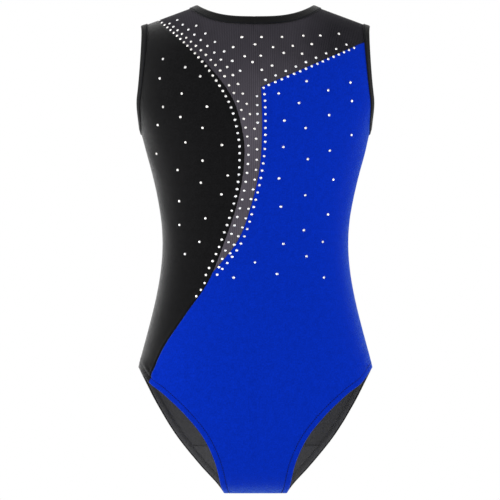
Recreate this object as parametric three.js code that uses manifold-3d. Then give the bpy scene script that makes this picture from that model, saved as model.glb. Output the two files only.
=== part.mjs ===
/**
 * Sleeveless girls' gymnastics leotard, filled out as it is when worn.
 *
 * Millimetres, +Z up. The front faces -Y, and left and right are the wearer's, so the wearer's
 * left is +X. The origin lies under the middle of the garment, level with the crotch fold.
 *
 * Everything is cut from one smooth torso surface, called the form. Cloth lies on the form in
 * layers: a layer is the space between two offsets of the form, and a piece is the part of a
 * layer that lies inside an outline. Outlines are drawn on the form, as a pattern cutter draws on
 * a dress stand, so cloth that is folded, stacked or joined always follows its neighbour.
 */
import * as THREE from "three";
import { mergeVertices } from "three/addons/utils/BufferGeometryUtils.js";
import Module from "manifold-3d";

const wasm = await Module();
wasm.setup();

// ---------------------------------------------------------------- driving dimensions

// Heights, stacked from the crotch fold up to the neck end of the shoulder seam.
const crotchToHip = 139; // up to the top of the leg opening, at the side seam
const hipToWaist = 138;
const waistToUnderarm = 128;
const armholeHeight = 112; // underarm to the outer end of the shoulder seam
const shoulderDrop = 23.5; // fall of the shoulder seam from its neck end to its outer end

// Half widths, seen from the front.
const hipHalfWidth = 130;
const waistHalfWidth = 102.8;
const underarmHalfWidth = 128;
const upperArmHalfWidth = 137; // of the form where the arms would leave it
const thighHalfWidth = 92; // of the form at the level of the crotch fold
const crotchHalfWidth = 35.5;
const neckHalfWidth = 63.5;
const shoulderHalfWidth = 127;

// Depths of the form, in front of the side seams and behind them.
const crotchDepth = { front: 74, back: 80 };
const hipDepth = { front: 77, back: 84 };
const waistDepth = { front: 69, back: 60 };
const underarmDepth = { front: 84, back: 80 };
const upperArmDepth = { front: 82, back: 77 };

// Openings.
const frontNeckDrop = 12.5; // below the neck end of the shoulder seam
const backScoopDrop = 165;
const neckSquareness = { front: 3, back: 4 }; // 2 is a parabola, more is a flatter bottom
const armholeHalfDepth = { front: 35, back: 33 };

// Edge of the leg opening, as shares of the way from the crotch out to the hip and up to it.
const frontLegCurve = [
  [1, 1],
  [0.873, 0.881],
  [0.704, 0.791],
  [0.45, 0.626],
  [0.238, 0.446],
  [0.1, 0.245],
  [0.03, 0.05],
  [0, 0],
];
const backLegCurve = [
  [1, 1],
  [0.937, 0.906],
  [0.778, 0.694],
  [0.556, 0.45],
  [0.286, 0.223],
  [0.09, 0.079],
  [0, 0],
];

// Cloth, trims and joins.
const cloth = 1;
const bindingCloth = 0.8;
const elastic = 0.8;
const thread = { height: 0.5, width: 1.2 };
const clearance = 0.3; // between plies, and between pieces that are sewn edge to edge
const neckBindingWidth = 10;
const armBindingWidth = 8;
const legHemWidth = 8;
const legElasticWidth = 6;
const seamAllowance = 3; // to each side of a seam, inside the garment
const stitchFromEdge = 1.2; // from the inner edge of a binding or hem to its line of stitches
const seamTape = 0.8; // thickness of the two allowances, overlocked together
const lining = 0.8;
const liningTop = { front: 88, back: 52 }; // above the crotch fold

// Shape of the form and fineness of its facets.
const squareness = 2.4; // exponent of the cross-section, where 2 is an ellipse
const shoulderCap = 35; // height above the underarm where the form starts to close over
const bowlAboveHip = 11; // height above the hip where the form starts to close under
const neckRise = 25; // how far the form runs up past the shoulder line at the neck's middle
const columns = 12;
const bowlRows = 4;
const trunkRows = 10;
const capRows = 5;
const neckSteps = 12; // along each half of the neckline
const armSteps = 20; // round an armhole
const legSteps = 9; // along each half of a leg opening
const blackSeamSteps = 20;
const blueEdgeSteps = 8;
const yokeSteps = 5;

// ---------------------------------------------------------------- the form

const hipHeight = crotchToHip;
const waistHeight = hipHeight + hipToWaist;
const underarmHeight = waistHeight + waistToUnderarm;
const shoulderHeight = underarmHeight + armholeHeight;
const neckHeight = shoulderHeight + shoulderDrop;
const capHeight = underarmHeight + shoulderCap;
const bowlHeight = hipHeight + bowlAboveHip;
const shoulderSlope = shoulderDrop / (shoulderHalfWidth - neckHalfWidth);
const FRONT = -1;
const BACK = 1;

// A smooth curve through stations [height, value, slope], held level beyond both ends.
function profile(stations) {
  return (height) => {
    const above = stations.findIndex(([h]) => h > height);
    if (above === 0) return stations[0][1];
    if (above < 0) return stations.at(-1)[1];
    const [h0, v0, m0] = stations[above - 1];
    const [h1, v1, m1] = stations[above];
    const span = h1 - h0;
    const t = (height - h0) / span;
    const rise = t * t * (3 - 2 * t);
    return v0 + (v1 - v0) * rise + span * t * (1 - t) * (m0 * (1 - t) - m1 * t);
  };
}

const halfWidth = profile([
  [0, thighHalfWidth, 0.5],
  [hipHeight, hipHalfWidth, -0.26],
  [waistHeight, waistHalfWidth, 0],
  [underarmHeight, underarmHalfWidth, 0.27],
  [capHeight, upperArmHalfWidth, 0],
]);

const depthOf = (sheet) =>
  profile([
    [0, crotchDepth[sheet], 0],
    [hipHeight, hipDepth[sheet], 0],
    [waistHeight, waistDepth[sheet], 0],
    [underarmHeight, underarmDepth[sheet], 0],
    [capHeight, upperArmDepth[sheet], 0],
  ]);
const frontDepth = depthOf("front");
const backDepth = depthOf("back");

// Height of the ridge where front and back meet: the shoulder line, running up to the neck.
function ridgeHeight(x) {
  const across = Math.abs(x) / neckHalfWidth;
  if (across > 1) return neckHeight - shoulderSlope * (Math.abs(x) - neckHalfWidth);
  const inward = 1 - across * across;
  return neckHeight + (shoulderSlope * neckHalfWidth * inward) / 2 + neckRise * inward * inward;
}

// Share of its full depth that the form has: all of it over the trunk, falling away as an
// ellipse to nothing at the crotch fold and at the ridge.
function fullness(x, z) {
  let t = 0;
  if (z > capHeight) t = (z - capHeight) / (ridgeHeight(x) - capHeight);
  if (z < bowlHeight) t = 1 - z / bowlHeight;
  return Math.sqrt(Math.max(0, 1 - t * t));
}

// How far the form's surface lies in front of or behind the side seams' plane.
function depthAt(side, x, z) {
  const deep = (side === FRONT ? frontDepth : backDepth)(z) * fullness(x, z);
  const across = Math.min(1, Math.abs(x) / halfWidth(z));
  return deep * (1 - across ** squareness) ** (1 / squareness);
}

const onForm = (side, x, z) => new THREE.Vector3(x, side * depthAt(side, x, z), z);

// The direction out of the form at a point of its surface, as the gradient of
// |y|^n - (depth * fullness)^n * (1 - |x / halfWidth|^n), which is 0 on the surface.
function outward(point) {
  const level = (x, y, z) => {
    const deep = (y < 0 ? frontDepth : backDepth)(z) * fullness(x, z);
    const left = Math.max(-1, 1 - (Math.abs(x) / halfWidth(z)) ** squareness);
    return Math.abs(y) ** squareness - deep ** squareness * left;
  };
  const step = 0.01;
  const { x, y, z } = point;
  return new THREE.Vector3(
    level(x + step, y, z) - level(x - step, y, z),
    level(x, y + step, z) - level(x, y - step, z),
    level(x, y, z + step) - level(x, y, z - step),
  ).normalize();
}

// ---------------------------------------------------------------- solids

// A closed geometry as a manifold solid.
function solid(geometry) {
  geometry.deleteAttribute("normal");
  geometry.deleteAttribute("uv");
  const merged = mergeVertices(geometry, 1e-4);
  return new wasm.Manifold(
    new wasm.Mesh({
      numProp: 3,
      vertProperties: merged.attributes.position.array,
      triVerts: new Uint32Array(merged.index.array),
    }),
  );
}

// The height of a row of facets where it passes x. Rows crowd together where the form closes.
function rowHeight(row, x) {
  if (row < bowlRows) return bowlHeight * (1 - Math.cos((Math.PI / 2) * (row / bowlRows)));
  const trunk = row - bowlRows;
  if (trunk < trunkRows) return bowlHeight + (capHeight - bowlHeight) * (trunk / trunkRows);
  const cap = (trunk - trunkRows) / capRows;
  return capHeight + (ridgeHeight(x) - capHeight) * Math.sin((Math.PI / 2) * cap);
}

// The whole form, grown outwards by an offset.
function makeSkin(offset) {
  const pointAt = (side, column, row) => {
    const level = halfWidth(Math.min(capHeight, rowHeight(row, 0)));
    const x = level * Math.sin(Math.PI * (column / columns - 0.5));
    const point = onForm(side, x, rowHeight(row, x));
    return point.addScaledVector(outward(point), offset);
  };
  const corners = [];
  for (const side of [FRONT, BACK])
    for (let row = 0; row < bowlRows + trunkRows + capRows; row++)
      for (let column = 0; column < columns; column++) {
        const a = pointAt(side, column, row);
        const b = pointAt(side, column + 1, row);
        const c = pointAt(side, column + 1, row + 1);
        const d = pointAt(side, column, row + 1);
        corners.push(...(side === FRONT ? [a, b, c, a, c, d] : [a, c, b, a, d, c]));
      }
  return solid(new THREE.BufferGeometry().setFromPoints(corners));
}

const skins = new Map();
function skin(offset) {
  const key = offset.toFixed(3);
  if (!skins.has(key)) skins.set(key, makeSkin(offset));
  return skins.get(key);
}

const layer = (inner, outer) => skin(outer).subtract(skin(inner));
const cut = (made, ...tools) => tools.reduce((left, tool) => left.subtract(tool), made);

const reach = 400; // past every side of the garment
const top = neckHeight + reach;
const throatDepth = 8; // how far an opening is swept inwards, which is past every layer
const mouthHeight = 60; // and outwards, which is past the bulge of the form in the opening
const overrun = 30; // how far a seam's cut runs on past the seam's ends

function block(low, high) {
  const size = high.map((value, axis) => value - low[axis]);
  const middle = high.map((value, axis) => (value + low[axis]) / 2);
  return solid(new THREE.BoxGeometry(...size).translate(...middle));
}

// An outline of [x, z] points, drawn from the front and carried forward from the side seams.
function frontPrism(outline) {
  const shape = new THREE.Shape(outline.map(([x, z]) => new THREE.Vector2(x, z)));
  const geometry = new THREE.ExtrudeGeometry(shape, { depth: reach, bevelEnabled: false });
  const upright = new THREE.Matrix4().makeBasis(
    new THREE.Vector3(1, 0, 0),
    new THREE.Vector3(0, 0, 1),
    new THREE.Vector3(0, -1, 0),
  );
  return solid(geometry.applyMatrix4(upright));
}

// ---------------------------------------------------------------- paths on the form

const fromFront = (point) => [point.x, point.z];

// Points [x, z] along a smooth curve through the given ones. Eased, they crowd towards its ends.
function smooth(points, steps, eased = false) {
  const curve = new THREE.SplineCurve(points.map(([x, z]) => new THREE.Vector2(x, z)));
  return Array.from({ length: steps + 1 }, (_, i) => {
    const t = i / steps;
    return curve.getPointAt(eased ? (1 - Math.cos(Math.PI * t)) / 2 : t).toArray();
  });
}

// Moves each point of a path along the form, at right angles to the path. A positive distance
// moves it to the left of someone who walks the path on the outside of the form.
function shift(path, distance, closed = false) {
  const last = path.length - 1;
  return path.map((point, i) => {
    const before = path[closed ? (i + last) % path.length : Math.max(0, i - 1)];
    const after = path[closed ? (i + 1) % path.length : Math.min(last, i + 1)];
    const along = after.clone().sub(before);
    const sideways = outward(point).cross(along).normalize();
    return point.clone().addScaledVector(sideways, distance);
  });
}

// What an opening takes out of the form: its edge, widened into the cloth by an inset and swept
// through the cloth along the form's normals. Its edge runs anticlockwise, seen from outside.
function opening(edge, inset) {
  const ring = shift(edge, -inset, true);
  const normals = edge.map(outward);
  const swept = (distance) =>
    ring.map((point, i) => point.clone().addScaledVector(normals[i], distance));
  const centre = (points) =>
    points.reduce((sum, point) => sum.add(point), new THREE.Vector3()).divideScalar(points.length);
  const inner = swept(-throatDepth);
  const outer = swept(mouthHeight);
  const inside = centre(inner);
  const outside = centre(outer).addScaledVector(centre(normals).normalize(), 2 * mouthHeight);
  const corners = ring.flatMap((_, i) => {
    const next = (i + 1) % ring.length;
    const wall = [inner[i], inner[next], outer[next], inner[i], outer[next], outer[i]];
    return [...wall, inner[next], inner[i], inside, outer[i], outer[next], outside];
  });
  return solid(new THREE.BufferGeometry().setFromPoints(corners));
}

// The same edge on the other flank, still anticlockwise.
const mirrored = (edge) => edge.map(({ x, y, z }) => new THREE.Vector3(-x, y, z)).reverse();
const onFlank = (edge, flank) => (flank > 0 ? edge : mirrored(edge));

// The neckline: a shallow dip across the front and a deep scoop down the back.
function neckEdge() {
  const run = (side, drop, power) =>
    Array.from({ length: neckSteps }, (_, i) => {
      const across = side * Math.cos((Math.PI * i) / neckSteps);
      const height = neckHeight - drop * (1 - Math.abs(across) ** power);
      return onForm(side, across * neckHalfWidth, height);
    });
  const front = run(FRONT, frontNeckDrop, neckSquareness.front);
  const back = run(BACK, backScoopDrop, neckSquareness.back);
  return [...front, ...back];
}

const neckOpening = (inset) => opening(neckEdge(), inset);

// How far out the form's surface lies at a depth and height, found by halving.
function widthAt(y, z) {
  let inside = 0;
  let outside = halfWidth(z);
  for (let halvings = 0; halvings < 40; halvings++) {
    const x = (inside + outside) / 2;
    if (depthAt(y < 0 ? FRONT : BACK, x, z) > Math.abs(y)) inside = x;
    else outside = x;
  }
  return inside;
}

// The armhole: an oval, seen from the side, from the underarm up to the end of the shoulder.
function armEdge() {
  const middle = underarmHeight + armholeHeight / 2;
  return Array.from({ length: armSteps }, (_, i) => {
    const turn = (2 * Math.PI * i) / armSteps;
    const depth = i < armSteps / 2 ? armholeHalfDepth.back : armholeHalfDepth.front;
    const y = depth * Math.sin(turn);
    const z = middle - (armholeHeight / 2) * Math.cos(turn);
    return new THREE.Vector3(widthAt(y, z), y, z);
  });
}

const armOpening = (flank, inset) => opening(onFlank(armEdge(), flank), inset);

// The leg opening's edge over one side, as shares of the way from crotch to hip.
function legRun(side, shares) {
  const hipX = halfWidth(hipHeight);
  const points = shares.map(([out, up]) => [
    crotchHalfWidth + (hipX - crotchHalfWidth) * out,
    hipHeight * up,
  ]);
  const run = smooth(points, legSteps, true);
  return run.map(([x, z]) => onForm(side, Math.min(x, halfWidth(z)), z));
}

function legEdge() {
  const front = legRun(FRONT, frontLegCurve);
  const back = legRun(BACK, backLegCurve);
  return [...front, ...back.slice(1, -1).reverse()];
}

const legOpening = (flank, inset) => opening(onFlank(legEdge(), flank), inset);

// Carries an open run of [x, z] points straight on past both ends.
function extend(run) {
  const beyond = ([x0, z0], [x1, z1]) => {
    const more = overrun / Math.hypot(x0 - x1, z0 - z1);
    return [x0 + (x0 - x1) * more, z0 + (z0 - z1) * more];
  };
  return [beyond(run[0], run[1]), ...run, beyond(run.at(-1), run.at(-2))];
}

// A strip of the front along a seam, as wide as given to each side of it.
function strip(seam, halfStrip) {
  const path = seam.map(([x, z]) => onForm(FRONT, x, z));
  const left = extend(shift(path, halfStrip).map(fromFront));
  const right = extend(shift(path, -halfStrip).map(fromFront));
  return frontPrism([...left, ...right.reverse()]);
}

// ---------------------------------------------------------------- seams of the front

// Points [x, height]. Each is set off from the landmark that it passes.
const blackEdge = [
  [7 - shoulderHalfWidth, shoulderHeight + 16],
  [-86, shoulderHeight - 12.5],
  [-52.2, shoulderHeight - 43.4],
  [-25.2, underarmHeight + 31.8],
  [-13.9, underarmHeight - 6.4],
  [-12.3, underarmHeight - 38],
  [-19, waistHeight + 48],
  [-33.7, waistHeight + 3.2],
  [-52.2, waistHeight - 42],
  [-76, hipHeight + 61.5],
  [-103.5, hipHeight + 20],
  [11.5 - hipHalfWidth, hipHeight - 19],
  [9 - hipHalfWidth, hipHeight - 34],
];
const blueEdge = [
  [6.4, shoulderHeight - 67.4],
  [7.4, underarmHeight + 0.6],
  [5.1, underarmHeight - 41.8],
  [-4, waistHeight + 44.2],
  [-19.5, waistHeight + 3.2],
  [-49, waistHeight - 34],
];
const blueYokeEnd = [shoulderHalfWidth + 1, shoulderHeight - 14]; // at the armhole

const blueRun = smooth(blueEdge, blueEdgeSteps);
const yokeRun = smooth([blueEdge[0], blueYokeEnd], yokeSteps);
const [apexX, apexZ] = blueEdge[0];
const tipZ = blueEdge.at(-1)[1];

const blackSeam = smooth(blackEdge, blackSeamSteps).filter(([x, z]) => z < ridgeHeight(x) && z > 0);
const blueSeam = [...yokeRun.slice(1).reverse(), ...blueRun];

// The black and blue regions run on past the garment's edges, and black lies over blue.
const blackLine = extend(blackSeam);
const blackRegion = frontPrism([
  ...blackLine,
  [blackLine.at(-1)[0], -reach],
  [-reach, -reach],
  [-reach, top],
  [blackLine[0][0], top],
]);
const blueRegion = frontPrism([
  ...extend(blueSeam),
  [-reach, 0],
  [-reach, -reach],
  [reach, -reach],
]);

// ---------------------------------------------------------------- stacking of the layers

// Depths below the outer face of the body cloth.
const clothUnder = -cloth; // inner face of the body cloth
const innerTop = clothUnder - clearance; // what lies against the cloth starts here
const seamUnder = innerTop - seamTape;
const liningUpper = seamUnder - clearance;
const bindingOver = clearance + bindingCloth; // outer face of a binding
const bindingUnder = innerTop - bindingCloth;
const hemUpper = innerTop - elastic - clearance;

const bindingEdge = bindingCloth + clearance; // where the body cloth stops inside a binding
const hemEdge = cloth + clearance; // and inside a turned hem

const arms = (inset) => [armOpening(-1, inset), armOpening(1, inset)];
const legs = (inset) => [legOpening(-1, inset), legOpening(1, inset)];

const bodyCloth = cut(
  layer(clothUnder, 0),
  neckOpening(bindingEdge),
  ...arms(bindingEdge),
  ...legs(hemEdge),
);

// ---------------------------------------------------------------- pieces

const frontSpace = block([-reach, -reach, -reach], [reach, -clearance / 2, top]);
const backSpace = block([-reach, clearance / 2, -reach], [reach, reach, top]);
const blackGap = strip(blackSeam, clearance / 2);
const blueGap = strip(blueSeam, clearance / 2);
const frontCloth = bodyCloth.intersect(frontSpace);

function frontBlackPanel() {
  return cut(frontCloth.intersect(blackRegion), blackGap);
}

function frontBluePanel() {
  return cut(frontCloth.intersect(blueRegion), blackRegion, blackGap, blueGap);
}

function frontMeshPanel() {
  return cut(frontCloth, blackRegion, blueRegion, blackGap, blueGap);
}

function backPanel() {
  return bodyCloth.intersect(backSpace);
}

// A folded band over a raw edge: outer ply, fold and inner ply, open towards the cloth.
function binding(openingAt, width) {
  const band = layer(bindingUnder, bindingOver).intersect(openingAt(width));
  const pocket = cut(layer(innerTop, clearance), openingAt(bindingCloth));
  return cut(band, openingAt(0), pocket);
}

// The body cloth turned to the inside round the leg, over an elastic.
function legHem(flank) {
  const band = layer(hemUpper - cloth, 0).intersect(legOpening(flank, legHemWidth));
  const pocket = cut(layer(hemUpper, clearance), legOpening(flank, cloth));
  return cut(band, legOpening(flank, 0), pocket);
}

function legElastic(flank) {
  const innerEdge = legOpening(flank, hemEdge + legElasticWidth);
  const band = layer(innerTop - elastic, innerTop).intersect(innerEdge);
  return cut(band, legOpening(flank, hemEdge));
}

// A line of stitches that lies on a ply, centred a distance in from an opening's edge.
function stitching(openingAt, distance, ply) {
  const line = layer(ply + clearance, ply + clearance + thread.height);
  const band = line.intersect(openingAt(distance + thread.width / 2));
  return cut(band, openingAt(distance - thread.width / 2));
}

// Seam allowances stop short of the bindings and hems.
const allowanceSpace = cut(
  layer(seamUnder, innerTop),
  neckOpening(neckBindingWidth + clearance),
  ...arms(armBindingWidth + clearance),
  ...legs(legHemWidth + clearance),
);

const seamStrip = (seam) => strip(seam, seamAllowance);
const seamSpace = (seam) => strip(seam, seamAllowance + clearance);
const flankBlock = (flank, [x0, y0, z0], [x1, y1, z1]) =>
  flank > 0 ? block([x0, y0, z0], [x1, y1, z1]) : block([-x1, y0, z0], [-x0, y1, z1]);

function sideSeam(flank) {
  const low = [crotchHalfWidth, -seamAllowance, hipHeight];
  const high = [reach, seamAllowance, underarmHeight];
  return allowanceSpace.intersect(flankBlock(flank, low, high));
}

function shoulderSeam(flank) {
  const low = [neckHalfWidth, -seamAllowance, underarmHeight + armholeHeight / 2];
  const high = [reach, seamAllowance, top];
  return allowanceSpace.intersect(flankBlock(flank, low, high));
}

function crotchSeam() {
  const far = thighHalfWidth;
  const band = block([-far, -seamAllowance, -reach], [far, seamAllowance, crotchToHip / 2]);
  return allowanceSpace.intersect(band);
}

// The side and shoulder seams, with room around them, which the front's seams stop at.
const crossSeams = block(
  [-reach, -seamAllowance - clearance, crotchToHip / 2],
  [reach, reach, top],
);
const frontAllowance = cut(allowanceSpace, crossSeams);

function seamBlackToMesh() {
  const upper = block([-reach, -reach, tipZ + clearance / 2], [reach, reach, top]);
  return frontAllowance.intersect(seamStrip(blackSeam)).intersect(upper);
}

function seamBlackToBlue() {
  const lower = block([-reach, -reach, -reach], [reach, reach, tipZ - clearance / 2]);
  return frontAllowance.intersect(seamStrip(blackSeam)).intersect(lower);
}

function seamMeshToBlueYoke() {
  const beyondApex = block([apexX, -reach, 0], [reach, reach, top]);
  return frontAllowance.intersect(seamStrip(yokeRun)).intersect(beyondApex);
}

function seamMeshToBlueEdge() {
  const belowApex = block([-reach, -reach, 0], [reach, reach, apexZ]);
  const band = frontAllowance.intersect(seamStrip(blueRun)).intersect(belowApex);
  return cut(band, blackRegion, seamSpace(blackSeam), seamSpace(yokeRun));
}

// The lining lies over the crotch seam, between the leg hems.
function crotchLining() {
  const frontPart = block([-reach, -reach, -reach], [reach, 0, liningTop.front]);
  const backPart = block([-reach, 0, -reach], [reach, reach, liningTop.back]);
  const cloths = layer(liningUpper - lining, liningUpper).intersect(frontPart.add(backPart));
  return cut(cloths, ...legs(legHemWidth + clearance));
}

// ---------------------------------------------------------------- the garment

const leotard = new THREE.Group();

function place(name, made, color, roughness) {
  const { numProp, vertProperties, triVerts } = made.getMesh();
  const geometry = new THREE.BufferGeometry();
  const positions = new THREE.BufferAttribute(new Float32Array(vertProperties), numProp);
  geometry.setAttribute("position", positions);
  geometry.setIndex(new THREE.BufferAttribute(new Uint32Array(triVerts), 1));
  geometry.computeVertexNormals();
  const material = new THREE.MeshStandardMaterial({ color, roughness, metalness: 0 });
  const mesh = new THREE.Mesh(geometry, material);
  mesh.name = name;
  leotard.add(mesh);
}

const black = 0x1f1f21;
const royalBlue = 0x042baf;
const smokyMesh = 0x3a3741;
const liningBlack = 0x2b2b2e;
const elasticGrey = 0x4a4a4d;
const threadBlack = 0x161618;

place("front_blue_panel", frontBluePanel(), royalBlue, 0.45);
place("front_black_panel", frontBlackPanel(), black, 0.45);
place("front_mesh_panel", frontMeshPanel(), smokyMesh, 0.7);
place("back_panel", backPanel(), black, 0.45);
place("crotch_lining", crotchLining(), liningBlack, 0.8);
place("crotch_seam", crotchSeam(), threadBlack, 0.8);
place("black_to_mesh_seam", seamBlackToMesh(), threadBlack, 0.8);
place("black_to_blue_seam", seamBlackToBlue(), threadBlack, 0.8);
place("mesh_to_blue_edge_seam", seamMeshToBlueEdge(), threadBlack, 0.8);
place("mesh_to_blue_yoke_seam", seamMeshToBlueYoke(), threadBlack, 0.8);
place("neck_binding", binding(neckOpening, neckBindingWidth), black, 0.5);
place(
  "neck_binding_stitching",
  stitching(neckOpening, neckBindingWidth - stitchFromEdge, bindingOver),
  threadBlack,
  0.7,
);

for (const [name, flank] of [["right", -1], ["left", 1]]) {
  const armhole = (inset) => armOpening(flank, inset);
  const leg = (inset) => legOpening(flank, inset);
  const armStitch = armBindingWidth - stitchFromEdge;
  const legStitch = legHemWidth - stitchFromEdge;
  place(`armhole_binding_${name}`, binding(armhole, armBindingWidth), black, 0.5);
  place(`armhole_stitching_${name}`, stitching(armhole, armStitch, bindingOver), threadBlack, 0.7);
  place(`leg_hem_${name}`, legHem(flank), black, 0.5);
  place(`leg_elastic_${name}`, legElastic(flank), elasticGrey, 0.8);
  place(`leg_hem_stitching_${name}`, stitching(leg, legStitch, 0), threadBlack, 0.7);
  place(`side_seam_${name}`, sideSeam(flank), threadBlack, 0.8);
  place(`shoulder_seam_${name}`, shoulderSeam(flank), threadBlack, 0.8);
}

export default leotard;
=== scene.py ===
"""Sleeveless gymnastics leotard: cloth, trims, stitching and crystals over its CAD frame.

Lengths are metres, +Z is up and the front faces -Y. Left and right are the wearer's, so the
wearer's left is +X. Every piece is laid on one smooth torso surface, the form. A place on the form
is given on its chart by two numbers: the turn round the body, from -90 degrees at the right side
seam to 90 at the left one, and the level, which is the height over the trunk and the way over the
surface where the form closes towards the shoulders and the crotch.
"""

import math

import bpy
import numpy as np
from bpy.props import FloatProperty, FloatVectorProperty, IntProperty, PointerProperty
from bpy.types import Operator, Panel, PropertyGroup
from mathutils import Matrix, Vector


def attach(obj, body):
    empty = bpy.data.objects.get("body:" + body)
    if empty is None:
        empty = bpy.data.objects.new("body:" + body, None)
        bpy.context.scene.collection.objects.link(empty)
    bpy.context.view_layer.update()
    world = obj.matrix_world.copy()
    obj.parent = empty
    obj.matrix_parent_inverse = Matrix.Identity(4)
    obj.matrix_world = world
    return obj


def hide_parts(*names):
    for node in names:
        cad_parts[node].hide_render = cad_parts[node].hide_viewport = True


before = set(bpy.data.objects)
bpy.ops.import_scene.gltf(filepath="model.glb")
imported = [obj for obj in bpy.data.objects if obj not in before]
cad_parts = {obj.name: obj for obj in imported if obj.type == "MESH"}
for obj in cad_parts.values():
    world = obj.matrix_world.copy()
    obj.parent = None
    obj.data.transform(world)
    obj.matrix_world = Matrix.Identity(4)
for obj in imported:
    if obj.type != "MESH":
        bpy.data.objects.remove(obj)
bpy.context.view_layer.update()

bl_info = {
    "name": "Gymnastics leotard",
    "version": (1, 0, 0),
    "blender": (4, 5, 0),
    "location": "3D View > Sidebar > Leotard",
    "description": "Makes the cloth, trims, stitching and crystals of a gymnastics leotard",
    "category": "Object",
}

FRONT = -1
BACK = 1
SIDE = math.pi / 2
MM = 0.001
CLEAR_OF_EDGE = 0.0085  # from an opening's edge to the end of a seam's allowances
CLEAR_OF_ROW = 0.0135  # from a seam with a row of crystals beside it to the loose ones
CLOTH_IN_HEM = 0.0064  # from a leg hem's fold to the end of the cloth in it
CLOTH_AT_SIDE = 0.0024  # the same beside the side seam, where the hem turns sharply
UNDER_THE_BINDING = 0.0015  # from a neck or armhole edge to the end of the cloth
GLUE = 0.00004  # the film between a crystal and the cloth
GOLDEN_TURN = 2.39996  # radians from one crystal to the next, so that no two face alike
BLACK_SEED, BLUE_SEED, YOKE_SEED = 11, 23, 37  # of the steps that loose crystals take

# ---------------------------------------------------------------- sizes and colours


def length(name, description, default):
    """A length property, in metres."""
    return FloatProperty(
        name=name, description=description, default=default, min=0, unit="LENGTH", precision=5
    )


def depths(name, description, front, back):
    """A pair of depths, in front of the side seams and behind them, in metres."""
    return FloatVectorProperty(
        name=name, description=description, default=(front, back), size=2, min=0, unit="LENGTH"
    )


def colour(name, description, default):
    """A linear colour property."""
    return FloatVectorProperty(
        name=name, description=description, default=default, size=3, min=0, max=1, subtype="COLOR"
    )


class LeotardSizes(PropertyGroup):
    """The body of the garment, as a pattern cutter measures it."""

    crotch_to_hip: length("Crotch to hip", "Fold up to the top of the leg opening", 0.139)
    hip_to_waist: length("Hip to waist", "Height between hip and waist", 0.138)
    waist_to_underarm: length("Waist to underarm", "Height between waist and underarm", 0.128)
    armhole_height: length("Armhole height", "Underarm to the end of the shoulder seam", 0.112)
    shoulder_drop: length("Shoulder drop", "Fall of the shoulder seam", 0.0235)
    thigh_half: length("Thigh half width", "Of the form at the crotch fold", 0.092)
    crotch_half: length("Crotch half width", "Between the leg openings, halved", 0.0355)
    hip_half: length("Hip half width", "At the top of the leg openings", 0.130)
    waist_half: length("Waist half width", "At the waist", 0.1028)
    underarm_half: length("Underarm half width", "At the bottom of the armholes", 0.128)
    upper_arm_half: length("Upper arm half width", "Of the form at the arms", 0.137)
    shoulder_half: length("Shoulder half width", "At the end of the shoulder seam", 0.127)
    neck_half: length("Neck half width", "At the neck end of the shoulder seam", 0.0635)
    crotch_depth: depths("Crotch depth", "Front and back depth at the crotch", 0.074, 0.080)
    hip_depth: depths("Hip depth", "Front and back depth at the hip", 0.077, 0.084)
    waist_depth: depths("Waist depth", "Front and back depth at the waist", 0.069, 0.060)
    underarm_depth: depths("Underarm depth", "Front and back depth at the underarm", 0.084, 0.080)
    chest_depth: depths("Upper arm depth", "Front and back depth at the arms", 0.082, 0.077)
    neck_drop: length("Front neck drop", "Below the neck end of the shoulder seam", 0.0125)
    scoop_drop: length("Back scoop drop", "Below the neck end of the shoulder seam", 0.165)
    armhole_depth: depths("Armhole half depth", "In front and behind", 0.035, 0.033)


class LeotardMaking(PropertyGroup):
    """The cloth and how it is sewn."""

    cloth: length("Cloth", "Thickness of the stretch cloth", 0.0009)
    neck_binding: length("Neck binding", "Width of the neck binding", 0.010)
    arm_binding: length("Armhole binding", "Width of the armhole bindings", 0.008)
    leg_hem: length("Leg hem", "Width of the leg hems", 0.008)
    from_edge: length("Stitch from edge", "Stitch line from the trim's inner edge", 0.0012)
    stitch: length("Stitch length", "Of one visible stitch", 0.0021)
    stitch_pitch: length("Stitch pitch", "From one stitch to the next", 0.0028)
    thread: length("Thread", "Thickness of the sewing thread", 0.0007)
    allowance: length("Seam allowance", "To each side of a seam", 0.003)
    crystal: length("Crystal", "Diameter of a crystal", 0.0030)
    grid: length("Grid spacing", "Between rows of a panel", 0.0024)
    columns: IntProperty(
        name="Columns", description="Across each half panel", default=56, min=8, max=120
    )


class LeotardColours(PropertyGroup):
    """Colours of the cloths, threads and crystals."""

    blue: colour("Royal blue", "Blue stretch cloth", (0.0012, 0.0185, 0.340))
    black: colour("Black", "Black stretch cloth", (0.0046, 0.0046, 0.0050))
    inside: colour("Wrong side", "Inside of the black cloth", (0.086, 0.086, 0.090))
    inside_blue: colour("Wrong side, blue", "Inside of the blue cloth", (0.008, 0.035, 0.26))
    net: colour("Mesh", "Smoky stretch mesh at its darkest", (0.0085, 0.0082, 0.0105))
    net_strip: colour("Mesh strip", "The mesh where one layer runs down", (0.070, 0.063, 0.078))
    lining: colour("Lining", "Crotch lining", (0.094, 0.094, 0.098))
    elastic: colour("Elastic", "Leg elastic", (0.07, 0.07, 0.075))
    thread: colour("Thread", "Sewing thread", (0.005, 0.006, 0.012))
    crystal: colour("Crystal", "Foiled glass", (0.93, 0.94, 0.96))
    floor: colour("Floor", "Pale studio floor", (0.97, 0.97, 0.97))


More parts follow.
